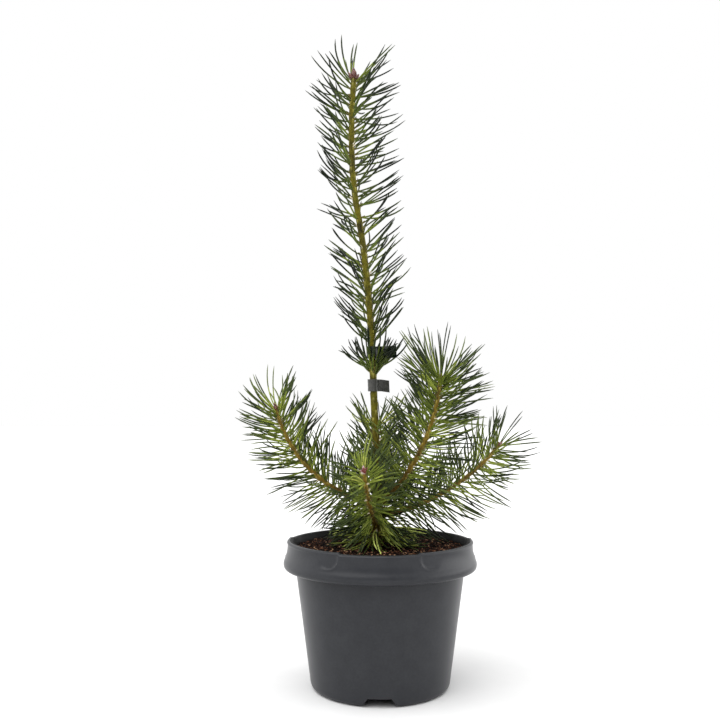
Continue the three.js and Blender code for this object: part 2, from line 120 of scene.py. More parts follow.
def rounded(corners, steps=6):
    """An outline through corners of (radius, height, how far from the corner its rounding starts)."""
    places = np.array([corner[:2] for corner in corners], float)
    points = []
    for i, (here, reach) in enumerate(zip(places, [corner[2] for corner in corners])):
        if reach == 0:
            points.append(here)
            continue
        before, after = places[i - 1] - here, places[i + 1] - here
        start = here + before * min(reach / np.linalg.norm(before), CORNER_LIMIT)
        end = here + after * min(reach / np.linalg.norm(after), CORNER_LIMIT)
        for t in np.linspace(0, 1, steps + 1):
            points.append(start * (1 - t) ** 2 + here * 2 * t * (1 - t) + end * t**2)
    return np.array(points)


def stepped(points, pitch_at):
    """The same outline with more points on its long stretches."""
    made = [points[0]]
    for start, end in zip(points[:-1], points[1:]):
        count = max(1, math.ceil(np.linalg.norm(end - start) / pitch_at((start + end) / 2)))
        made.extend(start + (end - start) * k / count for k in range(1, count + 1))
    return np.array(made)


def ring_faces(rings, sides):
    """Quads between rings of points that follow each other along a body, facing outwards."""
    first = np.arange(rings - 1)[:, None] * sides
    here = np.arange(sides)[None, :]
    beside = (here + 1) % sides
    quads = np.stack([first + here, first + beside, first + sides + beside, first + sides + here], -1)
    return quads.reshape(-1, 4).tolist()


def link_piece(name, points, faces, material=None):
    """A smooth shaded piece from points in millimetres."""
    mesh = bpy.data.meshes.new(name)
    mesh.from_pydata((np.asarray(points) * MM).tolist(), [], faces)
    mesh.shade_smooth()
    piece = bpy.data.objects.new(name, mesh)
    bpy.context.scene.collection.objects.link(piece)
    if material:
        mesh.materials.append(material)
    return piece


def carry(piece, label, values):
    """Gives each point of a piece a number or a vector of its own, under a name."""
    values = np.asarray(values, np.float32)
    kind, field = ("FLOAT", "value") if values.ndim == 1 else ("FLOAT_VECTOR", "vector")
    piece.data.attributes.new(label, kind, "POINT").data.foreach_set(field, values.ravel())


def kept_result(piece):
    """Turns what the piece's modifiers make into its plain mesh."""
    mesh = bpy.data.meshes.new_from_object(piece.evaluated_get(bpy.context.evaluated_depsgraph_get()))
    piece.modifiers.clear()
    piece.data = mesh


def pot_outline():
    def inside_radius(height):
        return body_radius(height) - WALL

    def pitch_at(place):
        on_collar = place[0] > COLLAR_RADIUS - COLLAR_REACH and place[1] > COLLAR_BOTTOM + FACE_FROM
        return COLLAR_RING_PITCH if on_collar else RING_PITCH

    points = rounded([
        (0, 0, 0),
        (24, 0, 1),
        (27, FLOOR_UNDERSIDE, 1.5),
        (55, FLOOR_UNDERSIDE, 1.5),
        (58, 0, 1),
        (BASE_RADIUS, 0, 6.7),
        (body_radius(COLLAR_BOTTOM), COLLAR_BOTTOM, 0),
        (body_radius(COLLAR_WEB), COLLAR_WEB, 1.5),
        (COLLAR_RADIUS - WALL, COLLAR_WEB, 1.5),
        (98.2, 126, 3),
        (93.6, 120.9, 0.8),
        (94.2, COLLAR_BOTTOM, 0.8),
        (99.2, 120.9, 3.2),
        (100.25, 126.4, 3.4),
        (97.2, 133.5, 5),
        (COLLAR_RADIUS, LIP_HEIGHT, 2.6),
        (LIP_INNER_RADIUS, LIP_HEIGHT, 1.1),
        (inside_radius(COLLAR_WEB), COLLAR_WEB, 3),
        (inside_radius(FLOOR_TOP), FLOOR_TOP, 6),
        (0, FLOOR_TOP, 0),
    ])
    return stepped(points, pitch_at)


def sink_panels(points, first_outer):
    """Sinks the panels into the collar, and lowers the lip over the plain zones between them."""
    angle = np.degrees(np.arctan2(points[..., 1], points[..., 0])) + 90
    pitch = 360 / FEATURES_ROUND
    offset = np.abs((angle + pitch / 2) % pitch - pitch / 2)
    height = points[..., 2].copy()
    along = (offset - PLAIN_HALF_ANGLE) * math.radians(COLLAR_RADIUS)
    above = height - PANEL_BOTTOM
    corner = PANEL_CORNER - np.hypot(PANEL_CORNER - along, PANEL_CORNER - above)
    in_corner = (along < PANEL_CORNER) & (above < PANEL_CORNER)
    inwards = np.where(in_corner, corner, np.minimum(along, above))
    fade = smoothstep(*PANEL_FADE, along)
    sunk = PANEL_DEPTH * smoothstep(0, PANEL_BORDER + FADED_BORDER * fade, inwards)
    bead = BEAD_HEIGHT * np.exp(-(((inwards + BEAD_OUTSIDE) / BEAD_WIDTH) ** 2)) * (1 - fade)
    radius = np.hypot(points[..., 0], points[..., 1])
    outer = np.arange(points.shape[0])[:, None] >= first_outer
    on_face = outer & (radius > COLLAR_RADIUS - FACE_DEPTH) & (height > COLLAR_BOTTOM + FACE_FROM)
    below_lip = 1 - smoothstep(LIP_HEIGHT - LIP_BAND, LIP_HEIGHT - LIP_BAND + LIP_BAND_EDGE, height)
    inset = sunk * (LIP_SUNK_SHARE + (1 - LIP_SUNK_SHARE) * below_lip) - bead * below_lip
    scale = 1 - np.where(on_face, inset, 0) / np.maximum(radius, 1)
    points[..., 0] *= scale
    points[..., 1] *= scale
    lip_share = smoothstep(*(LIP_HEIGHT + below for below in LIP_DROP_FADE), height)
    crest = CREST_HEIGHT * np.exp(-(((along - CREST_PLACE) / CREST_WIDTH) ** 2))
    drop = LIP_DROP * (1 - smoothstep(-LIP_DROP_EDGE, LIP_DROP_EDGE, along)) - crest
    points[..., 2] -= np.where(outer, drop * lip_share, 0)


def notch_points():
    """The corners of a prism that cuts a notch through the ring foot at the front."""
    outline = [(-NOTCH_FOOT_WIDTH / 2, -1), (NOTCH_FOOT_WIDTH / 2, -1),
               (NOTCH_TOP_WIDTH / 2, NOTCH_HEIGHT), (-NOTCH_TOP_WIDTH / 2, NOTCH_HEIGHT)]
    return np.array([(x, -distance, z) for distance in NOTCH_REACH for x, z in outline])


def turned_about_z(points, degrees):
    cos, sin = math.cos(math.radians(degrees)), math.sin(math.radians(degrees))
    return points @ np.array([[cos, sin, 0], [-sin, cos, 0], [0, 0, 1]])


def joined(bodies):
    """The points and faces of several bodies, each of (points, faces), as one."""
    points, faces = [], []
    for body_points, body_faces in bodies:
        start = len(points)
        points.extend(body_points)
        faces.extend([start + i for i in face] for face in body_faces)
    return points, faces


def foot_cutter():
    """Three notch prisms and the drain holes, as one mesh to take away from the pot."""
    box_faces = [[0, 1, 2, 3], [7, 6, 5, 4], [0, 4, 5, 1], [1, 5, 6, 2], [2, 6, 7, 3], [3, 7, 4, 0]]
    notches = [(turned_about_z(notch_points(), k * 360 / FEATURES_ROUND), box_faces)
               for k in range(FEATURES_ROUND)]
    around = np.linspace(0, 2 * math.pi, DRAIN_SIDES, endpoint=False)
    circle = np.stack([DRAIN_CIRCLE + DRAIN_RADIUS * np.cos(around), DRAIN_RADIUS * np.sin(around)], -1)
    drain = np.concatenate([np.insert(circle, 2, height, 1) for height in (FLOOR_TOP / 2, 1.5 * FLOOR_TOP)])
    caps = [list(range(DRAIN_SIDES))[::-1], list(range(DRAIN_SIDES, 2 * DRAIN_SIDES))]
    holes = [(turned_about_z(drain, 90 + k * 360 / DRAINS), ring_faces(2, DRAIN_SIDES) + caps)
             for k in range(DRAINS)]
    return link_piece("foot_cutter", *joined(notches + holes))


def turned_rings(outline, sides):
    """The points of an outline of (radius, height) turned round the Z axis, ring by ring."""
    around = np.linspace(0, 2 * math.pi, sides, endpoint=False)
    radius, height = outline[:, :1], outline[:, 1:]
    return np.stack([radius * np.cos(around), radius * np.sin(around), height + 0 * around], -1)


def closed_at_poles(rings):
    """Points and faces of a turned body whose first and last outline points are on the axis."""
    count, sides = rings.shape[:2]
    bottom, top = rings[0, 0], rings[-1, 0]
    points = np.concatenate([rings[1:-1].reshape(-1, 3), [bottom, top]])
    low, high = len(points) - 2, len(points) - 1
    last = (count - 3) * sides
    faces = ring_faces(count - 2, sides)
    for i in range(sides):
        beside = (i + 1) % sides
        faces.append([low, beside, i])
        faces.append([high, last + i, last + beside])
    return points, faces


def tint(red, green, blue):
    """A colour as a screen shows it, 0 to 255 each, in the linear values that Blender mixes."""
    return (*((part / 255) ** 2.2 for part in (red, green, blue)), 1)


def add_node(tree, kind, inputs=None, **settings):
    """A node with its settings and inputs, each input a value or another node's output."""
    made = tree.nodes.new(kind)
    for name, value in settings.items():
        setattr(made, name, value)
    for key, value in (inputs or {}).items():
        if isinstance(value, bpy.types.NodeSocket):
            tree.links.new(value, made.inputs[key])
        else:
            made.inputs[key].default_value = value
    return made


def maths(tree, operation, *values, vector=False):
    """What a maths node makes of its values, each a number or another node's output."""
    kind = "ShaderNodeVectorMath" if vector else "ShaderNodeMath"
    return add_node(tree, kind, dict(enumerate(values)), operation=operation).outputs[0]


def ranged(tree, value, low, high, to_low=0.0, to_high=1.0):
    """Where a value is between a low and a high one, from 0 to 1 or between two other numbers."""
    inputs = {0: value, 1: low, 2: high, 3: to_low, 4: to_high}
    return add_node(tree, "ShaderNodeMapRange", inputs).outputs[0]


def grain_group():
    """Grain at two sizes in Object coordinates: a soft tone for colours and a fine height for relief."""
    broad_share, tone_from, tone_to = 0.16, 0.7, 1.3
    group = bpy.data.node_groups.new("surface grain", "ShaderNodeTree")
    for name, kind in (("Grain size", "Float"), ("Stretch", "Vector"), ("Unevenness", "Float")):
        group.interface.new_socket(name, in_out="INPUT", socket_type=f"NodeSocket{kind}")
    for name in ("Tone", "Height"):
        group.interface.new_socket(name, in_out="OUTPUT", socket_type="NodeSocketFloat")
    given = add_node(group, "NodeGroupInput")
    place = add_node(group, "ShaderNodeTexCoord")
    mapped = maths(group, "MULTIPLY", place.outputs["Object"], given.outputs["Stretch"], vector=True)
    fine = maths(group, "DIVIDE", 1.0, given.outputs["Grain size"])
    broad = maths(group, "MULTIPLY", fine, broad_share)
    broad_noise = add_node(group, "ShaderNodeTexNoise", {
        "Vector": mapped, "Scale": broad, "Detail": 4.0, "Distortion": given.outputs["Unevenness"]})
    fine_noise = add_node(group, "ShaderNodeTexNoise", {
        "Vector": mapped, "Scale": fine, "Detail": 3.0, "Roughness": 0.6})
    both = maths(group, "ADD", broad_noise.outputs["Fac"], fine_noise.outputs["Fac"])
    tone = ranged(group, both, tone_from, tone_to)
    add_node(group, "NodeGroupOutput", {"Tone": tone, "Height": fine_noise.outputs["Fac"]})
    return group


surface_grain = grain_group()


def set_stops(ramp, stops):
    """Gives a colour ramp its stops, each a place from 0 to 1 and a colour."""
    elements = ramp.color_ramp.elements
    for element, (place, colour) in zip(list(elements), stops):
        element.position = place
        element.color = colour
    for place, colour in stops[2:]:
        elements.new(place).color = colour


def finish(name, colours, grain_mm, relief_mm, roughness, stretch=(1, 1, 1), unevenness=0.4, specular=0.5):
    """A material whose colour, from dark to light, its gloss and its relief follow the surface grain."""
    material = bpy.data.materials.new(name)
    material.use_nodes = True
    tree = material.node_tree
    shader = tree.nodes["Principled BSDF"]
    grain = add_node(tree, "ShaderNodeGroup", node_tree=surface_grain)
    grain.inputs["Grain size"].default_value = grain_mm * MM
    grain.inputs["Stretch"].default_value = stretch
    grain.inputs["Unevenness"].default_value = unevenness
    ramp = add_node(tree, "ShaderNodeValToRGB", {"Fac": grain.outputs["Tone"]})
    set_stops(ramp, [(k / (len(colours) - 1), colour) for k, colour in enumerate(colours)])
    gloss = ranged(tree, grain.outputs["Tone"], 0.0, 1.0, *roughness)
    bump = add_node(tree, "ShaderNodeBump", {
        "Strength": 1.0, "Distance": relief_mm * MM, "Height": grain.outputs["Height"]})
    tree.links.new(ramp.outputs["Color"], shader.inputs["Base Color"])
    tree.links.new(gloss, shader.inputs["Roughness"])
    tree.links.new(bump.outputs["Normal"], shader.inputs["Normal"])
    shader.inputs["Specular IOR Level"].default_value = specular
    return material


slate_plastic = finish(
    "slate grey plastic", [tint(47, 48, 51), tint(50, 51, 54), tint(53, 54, 57)],
    grain_mm=2.4, relief_mm=0.006, roughness=(0.3, 0.36), unevenness=0.1, specular=0.2)
# Painted shade: the same plastic made near black for the inside of the pot and the lip's inner edge, where
# it stands in shade.
inner_wall_painted_shade = finish(
    "painted shade inner wall", [tint(8, 8, 8), tint(14, 14, 14), tint(22, 21, 21)],
    grain_mm=3, relief_mm=0.05, roughness=(0.5, 0.7), specular=0.15)

outline = pot_outline()
pot_rings = turned_rings(outline, POT_SIDES)
on_skirt = (outline[:, 0] > SKIRT_RADIUS) & (outline[:, 1] < COLLAR_BOTTOM + SKIRT_EDGE)
sink_panels(pot_rings, np.nonzero(on_skirt)[0][0])
pot_points, pot_faces = closed_at_poles(pot_rings)
pot = link_piece("nursery_pot", pot_points, pot_faces, slate_plastic)
cutter = foot_cutter()
cutter.data.materials.append(slate_plastic)
cut = pot.modifiers.new("foot", "BOOLEAN")
cut.operation = "DIFFERENCE"
cut.object = cutter
kept_result(pot)
bpy.data.objects.remove(cutter)
pot.data.materials.append(inner_wall_painted_shade)
# Faces inside the wall and on the lip's inner edge take the near-black painted shade.
for face in pot.data.polygons:
    across, height = math.hypot(face.center.x, face.center.y) / MM, face.center.z / MM
    inside = across < body_radius(height) - WALL / 2 and height > FLOOR_TOP - PAINTED_SHADE_MARGIN
    inside = inside or (across < LIP_INNER_RADIUS + LIP_PAINTED_SHADE and height > LIP_HEIGHT - LIP_BAND)
    face.material_index = 1 if inside else 0
turned_pot = turned_about_z(np.array([vertex.co for vertex in pot.data.vertices]), POT_TURN)
pot.data.vertices.foreach_set("co", turned_pot.ravel())
pot.data.shade_smooth()
pot.data.set_sharp_from_angle(angle=math.radians(SHARP_FROM))
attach(pot, "root")
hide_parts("pot")

# Soil: peat with bark and wood crumbs, filled to eight millimetres under the lip and a little mounded
# round the stem. The crumbs and slivers on it are loose pieces of the same peat.
SOIL_TOP = 141
SOIL_GAP = 0.7
SOIL_SIDES = 200
SOIL_RINGS = 64
SOIL_CLOSING = 1.1
SOIL_LUMPS = 1.5
LUMP_SIZE = 9
LUMP_FRACTAL = (1.0, 2.0, 4)
SOIL_MOUND = 1.6
MOUND_REACH = 17
STEM_FOOT = (-5.5, 1)
SOIL_FOOT_GAP = 0.4
SOIL_FOOT_ROUND = 5
SOIL_FOOT_INSET = 3.8
CRUMBS_PER_M2 = 190000
SLIVERS_PER_M2 = 16000
CRUMB_ROUGHNESS = 0.0012
CRUMB_NOISE = 900.0
CRUMB_TURN = ((-0.5, -0.5, 0.0), (0.5, 0.5, 6.28))
UPWARDS = 0.6


def soil_height(x, y):
    place = Vector((x, y, 0))
    lumps = noise.fractal(place / LUMP_SIZE, *LUMP_FRACTAL) * SOIL_LUMPS
    from_stem = math.hypot(x - STEM_FOOT[0], y - STEM_FOOT[1])
    return SOIL_TOP + lumps + SOIL_MOUND * math.exp(-((from_stem / MOUND_REACH) ** 2))


def soil_body():
    def edge(height):
        return body_radius(height) - WALL - SOIL_GAP

    bottom, side_from = FLOOR_TOP + SOIL_FOOT_GAP, FLOOR_TOP + SOIL_FOOT_ROUND
    floor = [(0, bottom), (edge(FLOOR_TOP) - SOIL_FOOT_INSET, bottom), (edge(side_from), side_from)]
    surface = [(edge(SOIL_TOP) * (1 - (k / SOIL_RINGS) ** SOIL_CLOSING), SOIL_TOP)
               for k in range(SOIL_RINGS + 1)]
    rings = turned_rings(np.array(floor + surface), SOIL_SIDES)
    for ring in rings[len(floor):]:
        for point in ring:
            point[2] = soil_height(point[0], point[1])
    return closed_at_poles(rings)


def result_of(piece, tree, inputs):
    """Runs a Geometry Nodes tree on a piece, its inputs given by name, and keeps the result as a mesh."""
    modifier = piece.modifiers.new(tree.name, "NODES")
    modifier.node_group = tree
    for socket in tree.interface.items_tree:
        if socket.item_type == "SOCKET" and socket.in_out == "INPUT" and socket.name in inputs:
            modifier[socket.identifier] = inputs[socket.name]
    kept_result(piece)


def new_geometry_tree(name, inputs):
    """A Geometry Nodes tree with a geometry in and out, and named inputs of (name, kind)."""
    tree = bpy.data.node_groups.new(name, "GeometryNodeTree")
    tree.interface.new_socket("Geometry", in_out="INPUT", socket_type="NodeSocketGeometry")
    for label, kind in inputs:
        tree.interface.new_socket(label, in_out="INPUT", socket_type=f"NodeSocket{kind}")
    tree.interface.new_socket("Geometry", in_out="OUTPUT", socket_type="NodeSocketGeometry")
    return tree, add_node(tree, "NodeGroupInput")


def crumb_tree():
    """Scatters one rough shape over the upward faces of the soil, in random sizes and turns."""
    tree, given = new_geometry_tree("peat crumbs", [
        ("Density", "Float"), ("Smallest", "Vector"), ("Largest", "Vector"), ("Seed", "Int"),
        ("Finish", "Material")])
    normal = add_node(tree, "GeometryNodeInputNormal")
    parts = add_node(tree, "ShaderNodeSeparateXYZ", {0: normal.outputs[0]})
    upwards = add_node(tree, "FunctionNodeCompare", {0: parts.outputs["Z"], 1: UPWARDS})
    spots = add_node(tree, "GeometryNodeDistributePointsOnFaces", {
        "Mesh": given.outputs["Geometry"], "Selection": upwards.outputs[0],
        "Density": given.outputs["Density"], "Seed": given.outputs["Seed"]})
    shape = add_node(tree, "GeometryNodeMeshIcoSphere", {"Radius": 1.0, "Subdivisions": 1})
    size = add_node(tree, "FunctionNodeRandomValue", {
        0: given.outputs["Smallest"], 1: given.outputs["Largest"], "Seed": given.outputs["Seed"]},
        data_type="FLOAT_VECTOR")
    turn = add_node(tree, "FunctionNodeRandomValue", {
        0: CRUMB_TURN[0], 1: CRUMB_TURN[1], "Seed": 5}, data_type="FLOAT_VECTOR")
    tone = add_node(tree, "FunctionNodeRandomValue", {2: 0.0, 3: 1.0, "Seed": 9}, data_type="FLOAT")
    toned = add_node(tree, "GeometryNodeStoreNamedAttribute", {
        "Geometry": spots.outputs["Points"], "Name": "tone", "Value": tone.outputs[1]})
    placed = add_node(tree, "GeometryNodeInstanceOnPoints", {
        "Points": toned.outputs[0], "Instance": shape.outputs["Mesh"],
        "Rotation": turn.outputs[0], "Scale": size.outputs[0]})
    real = add_node(tree, "GeometryNodeRealizeInstances", {"Geometry": placed.outputs[0]})
    rough = add_node(tree, "ShaderNodeTexNoise", {"Scale": CRUMB_NOISE, "Detail": 1.0})
    middle = maths(tree, "SUBTRACT", rough.outputs["Color"], (0.5, 0.5, 0.5), vector=True)
    pushed = add_node(tree, "ShaderNodeVectorMath", {0: middle, "Scale": CRUMB_ROUGHNESS},
                      operation="SCALE")
    shaped = add_node(tree, "GeometryNodeSetPosition", {
        "Geometry": real.outputs[0], "Offset": pushed.outputs[0]})
    dressed = add_node(tree, "GeometryNodeSetMaterial", {
        "Geometry": shaped.outputs[0], "Material": given.outputs["Finish"]})
    add_node(tree, "NodeGroupOutput", {"Geometry": dressed.outputs[0]})
    return tree


def carried(tree, name):
    """A number that each point of a piece carries, for its material."""
    return add_node(tree, "ShaderNodeAttribute", attribute_name=name).outputs["Fac"]


def mixed(tree, share, first, second, **settings):
    """Two colours mixed by a share, or in the way that the settings name."""
    colours = {0: share, 6: first, 7: second}
    return add_node(tree, "ShaderNodeMix", colours, data_type="RGBA", **settings).outputs[2]


def tint_mottle(material, colour):
    """Multiplies a finish's own pale mottle by a colour that varies over the piece."""
    tree = material.node_tree
    base = tree.nodes["Principled BSDF"].inputs["Base Color"]
    tree.links.new(mixed(tree, 1.0, colour, base.links[0].from_socket, blend_type="MULTIPLY"), base)


def toned_finish(name, stops, grain_mm, relief_mm, roughness):
    """A grained material whose colour also depends on each small piece's own tone."""
    material = finish(name, [tint(200, 200, 200), tint(255, 255, 255)], grain_mm, relief_mm, roughness,
                      specular=0.12)
    tree = material.node_tree
    ramp = add_node(tree, "ShaderNodeValToRGB", {"Fac": carried(tree, "tone")})
    set_stops(ramp, stops)
    tint_mottle(material, ramp.outputs["Color"])
    return material


damp_peat = finish("damp peat", [tint(5, 3, 2), tint(22, 13, 9), tint(46, 28, 20)],
                   grain_mm=1.1, relief_mm=0.7, roughness=(0.85, 1.0), specular=0.1)
peat_crumb = toned_finish("peat crumb", [
    (0.0, tint(6, 4, 3)), (0.55, tint(38, 23, 17)), (0.88, tint(108, 70, 52)), (1.0, tint(200, 160, 126))],
    grain_mm=1.2, relief_mm=0.15, roughness=(0.8, 0.95))

soil_points, soil_faces = soil_body()
soil = link_piece("peat_surface", soil_points, soil_faces, damp_peat)
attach(soil, "root")
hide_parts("soil")


def open_ground(margin):
    """The faces of the soil's surface that are at least a margin inside the wall."""
    def on_top(point):
        reach = body_radius(SOIL_TOP) - WALL - margin
        return point[2] > SOIL_TOP - 3 * SOIL_LUMPS and math.hypot(*point[:2]) < reach

    return [face for face in soil_faces if all(on_top(soil_points[i]) for i in face)]


crumb_shapes = crumb_tree()
for name, density, smallest, largest, seed in (
        ("peat_crumbs", CRUMBS_PER_M2, (0.0004, 0.0004, 0.0003), (0.0017, 0.0014, 0.0011), 3),
        ("peat_slivers", SLIVERS_PER_M2, (0.0014, 0.0003, 0.0002), (0.004, 0.0008, 0.0006), 8)):
    crumbs = link_piece(name, soil_points, open_ground(largest[0] / MM))
    result_of(crumbs, crumb_shapes, {
        "Density": density, "Smallest": smallest, "Largest": largest, "Seed": seed, "Finish": peat_crumb})
    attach(crumbs, "root")

# Trunk and boughs: one slender young stem that leans a little to the left, with a whorl of boughs near
# its foot. The bark still shows the leaf bases, long low cushions that run down from below every pair.
GROUND = 141.4
TRUNK_TIP = 649.5
TRUNK_SWAY = np.array([
    (-5.5, 1), (-1, 1), (-5, 0), (-7.6, -2), (-11.3, -4), (-18, -4), (-27.6, -1), (-29.8, 2), (-27, 4)])
TRUNK_FOOT_RADIUS = 4.6
TRUNK_TOP_RADIUS = 2.9
FLARE = 3.4
FLARE_HEIGHT = 8
TRUNK_BUD = 9
BOUGHS = {
    "left": dict(root=184, azimuth=188, rise=(10.5, 78.5), length=161, bare=13, radius=2.7,
                 spread=(68, 52), spacing=1.55, needle=53, lift=0.04, tuft=0.94, seed=11, finer=1.1),
    "front": dict(root=163, azimuth=-101, rise=(22, 62), length=100, bare=11, radius=2.5,
                  spread=(84, 54), spacing=1.1, needle=49, tuft=1, seed=23, finer=0.8),
    "right_inner": dict(root=183, azimuth=-28, rise=(39, 86), length=160, bare=14, radius=2.9,
                        spread=(76, 52), spacing=1.6, needle=60, lift=0.04, tuft=1.14, seed=37, finer=2.1),
    "right_outer": dict(root=172, azimuth=22, rise=(6.5, 46.5), length=173, bare=14, radius=2.7,
                        spread=(66, 54), spacing=1.9, needle=54, lift=0.04, tuft=1, seed=41, finer=0.8),
    "back": dict(root=169, azimuth=84, rise=(18, 78), length=118, bare=13, radius=2.6,
                 spread=(74, 52), spacing=1.8, needle=50, lift=0.04, tuft=1, seed=53, finer=1.1,
                 covered=True),
}
BOUGH_TIP_RADIUS = 1.7
BOUGH_BUD = 7
BARK_INTO_BUD = 0.2
BOUGH_COLLAR = 1.3
BOUGH_COLLAR_LENGTH = 6
AXIS_STEPS = 60
GOLDEN_ANGLE = 137.508
BARK_SIDES = 30
BARK_RING_PITCH = 0.9
CUSHION_PITCH = 2.6
CUSHION_HEIGHT = 0.42
CUSHION_HALF_WIDTH = 0.95
CUSHION_LENGTH = 5.5
CUSHION_FALL = 1.6
CUSHION_CROWN = 0.8
CUSHION_REACH = (-16.5, 2.5)
CUSHION_SHOWS = (0.1, 0.7)
CUSHION_TINT = 0.9
BARK_FURROWS = 0.22
FURROW_LENGTH = 7
FURROWS_ROUND = 2.2
FLARE_LOBES = 3
FLARE_LOBE_DEPTH = 0.12
FLARE_LOBE_HEIGHT = 9
FLARE_TURN = 0.7
SCARRED = ((162, 192, 20), (264, 318, 50), (334, 352, 10))
BOUGH_SCARS_FROM = 2


def trunk_axis(height):
    """The trunk's middle at a height, on a Catmull-Rom line through the sway places."""
    last = len(TRUNK_SWAY) - 1
    place = np.clip((height - GROUND) / (TRUNK_TIP - GROUND), 0, 1) * last
    index = min(int(place), last - 1)
    t = place - index
    a, b = TRUNK_SWAY[index], TRUNK_SWAY[index + 1]
    before = TRUNK_SWAY[index - 1] if index > 0 else 2 * a - b
    after = TRUNK_SWAY[index + 2] if index < last - 1 else 2 * b - a
    start_slope, end_slope = (b - before) / 2, (after - a) / 2
    bend = 3 * (b - a) - 2 * start_slope - end_slope
    ease = 2 * (a - b) + start_slope + end_slope
    return np.append(a + start_slope * t + bend * t**2 + ease * t**3, height)


def trunk_radius(height):
    rise = height - GROUND
    share = max(0, rise / (TRUNK_TIP - GROUND))
    flare = FLARE * math.exp(-rise / FLARE_HEIGHT)
    return TRUNK_FOOT_RADIUS + (TRUNK_TOP_RADIUS - TRUNK_FOOT_RADIUS) * math.sqrt(share) + flare


def level_frame(height):
    """The trunk's middle, and the directions along it and across it."""
    return trunk_axis(height), np.array([0, 0, 1.0]), np.array([1.0, 0, 0]), np.array([0, 1.0, 0])


def bough_direction(bough, share):
    first, last = bough["rise"]
    rise, azimuth = math.radians(first + (last - first) * share), math.radians(bough["azimuth"])
    level = math.cos(rise)
    return np.array([level * math.cos(azimuth), level * math.sin(azimuth), math.sin(rise)])


def bough_axis(bough):
    points = [trunk_axis(bough["root"])]
    for i in range(AXIS_STEPS):
        step = bough_direction(bough, (i + 0.5) / AXIS_STEPS) * bough["length"] / AXIS_STEPS
        points.append(points[-1] + step)
    return np.array(points)


def bough_frame(bough, s):
    """The bough's middle a way along it, and the directions along it and across it."""
    place = np.clip(s / bough["length"] * AXIS_STEPS, 0, AXIS_STEPS - 1e-6)
    index = int(place)
    centre = bough["axis"][index] + (bough["axis"][index + 1] - bough["axis"][index]) * (place - index)
    azimuth = math.radians(bough["azimuth"])
    along = bough_direction(bough, s / bough["length"])
    across = np.array([-math.sin(azimuth), math.cos(azimuth), 0])
    return centre, along, across, np.cross(along, across)


def bough_radius(bough, s):
    return bough["radius"] + (BOUGH_TIP_RADIUS - bough["radius"]) * s / bough["length"]


def collared_radius(bough, s):
    """A bough's radius, wider in a collar where it leaves the trunk."""
    return bough_radius(bough, s) + BOUGH_COLLAR * math.exp(-s / BOUGH_COLLAR_LENGTH)


for name, bough in BOUGHS.items():
    bough["name"] = name
    bough["carrier"] = f"bough_{name}"
    bough["axis"] = bough_axis(bough)


def cushion_relief(s, around, radius, bases):
    """How far the leaf bases stand out: each rises to its needles and runs down the stem below them."""
    relief = np.zeros((len(s), len(around)))
    for base_s, base_angle in bases:
        rise = s - base_s
        near = (rise > CUSHION_REACH[0]) & (rise < CUSHION_REACH[1])
        if not near.any():
            continue
        below = np.exp(rise[near] / CUSHION_LENGTH * CUSHION_FALL)
        above = np.exp(-((rise[near] / CUSHION_CROWN) ** 2))
        lengthwise = np.where(rise[near] < 0, below, above)
        gap = (around - base_angle + math.pi) % (2 * math.pi) - math.pi
        sideways = np.exp(-((gap[None, :] * radius[near][:, None] / CUSHION_HALF_WIDTH) ** 2))
        relief[near] = np.maximum(relief[near], lengthwise[:, None] * sideways)
    return relief


def bark_limb(name, start, end, frame_at, radius_at, bases, lobe_depth=0.0):
    """A limb's bark: rings of points along it, standing out at its leaf bases, closed at both ends."""
    s = np.linspace(start, end, max(8, int((end - start) / BARK_RING_PITCH)))
    around = np.linspace(0, 2 * math.pi, BARK_SIDES, endpoint=False)
    radius = np.array([radius_at(place) for place in s])
    cushions = cushion_relief(s, around, radius, bases)
    rings = np.zeros((len(s), BARK_SIDES, 3))
    for i, place in enumerate(s):
        centre, along, across, over = frame_at(place)
        outward = np.outer(np.cos(around), across) + np.outer(np.sin(around), over)
        grooves = centre / FURROW_LENGTH + outward * FURROWS_ROUND
        furrows = np.array([noise.noise(Vector(groove)) for groove in grooves])
        lobes = lobe_depth * np.cos(around * FLARE_LOBES + FLARE_TURN)
        swell = 1 + lobes * math.exp(-(place - start) / FLARE_LOBE_HEIGHT)
        stand = radius[i] * swell + cushions[i] * CUSHION_HEIGHT + furrows * BARK_FURROWS
        rings[i] = centre + outward * stand[:, None]
    ends = [np.repeat(ring.mean(0)[None], BARK_SIDES, 0)[None] for ring in (rings[0], rings[-1])]
    points, faces = closed_at_poles(np.concatenate([ends[0], rings, ends[1]]))
    piece = link_piece(name, points, faces)
    for label, values in (("leaf_base_and_highlight", cushions), ("age", np.repeat(s[:, None], BARK_SIDES, 1))):
        carry(piece, label, np.concatenate([values.ravel(), [values[0].mean(), values[-1].mean()]]))
    return piece


def bark_finish(name, young, old, leaf_base_and_highlight, age_from, age_to):
    """Bark whose colour turns from old to young along the limb, with a lighter one on its leaf bases that
    is partly painted highlight.
    """
    material = finish(name, [tint(96, 90, 84), tint(206, 206, 206), tint(255, 255, 255)], grain_mm=3.2,
                      relief_mm=0.25, roughness=(0.62, 0.85), stretch=(1, 1, 0.6), specular=0.2)
    tree = material.node_tree
    skin = mixed(tree, ranged(tree, carried(tree, "age"), age_from, age_to), old, young)
    raised = ranged(tree, carried(tree, "leaf_base_and_highlight"), *CUSHION_SHOWS, to_high=CUSHION_TINT)
    tint_mottle(material, mixed(tree, raised, skin, leaf_base_and_highlight))
    return material


def leaf_bases(start, end, phase):
    """Leaf bases up a limb, a golden angle on from each other."""
    count = int((end - start) / CUSHION_PITCH)
    return [(start + k * CUSHION_PITCH, math.radians(k * GOLDEN_ANGLE + phase)) for k in range(count)]


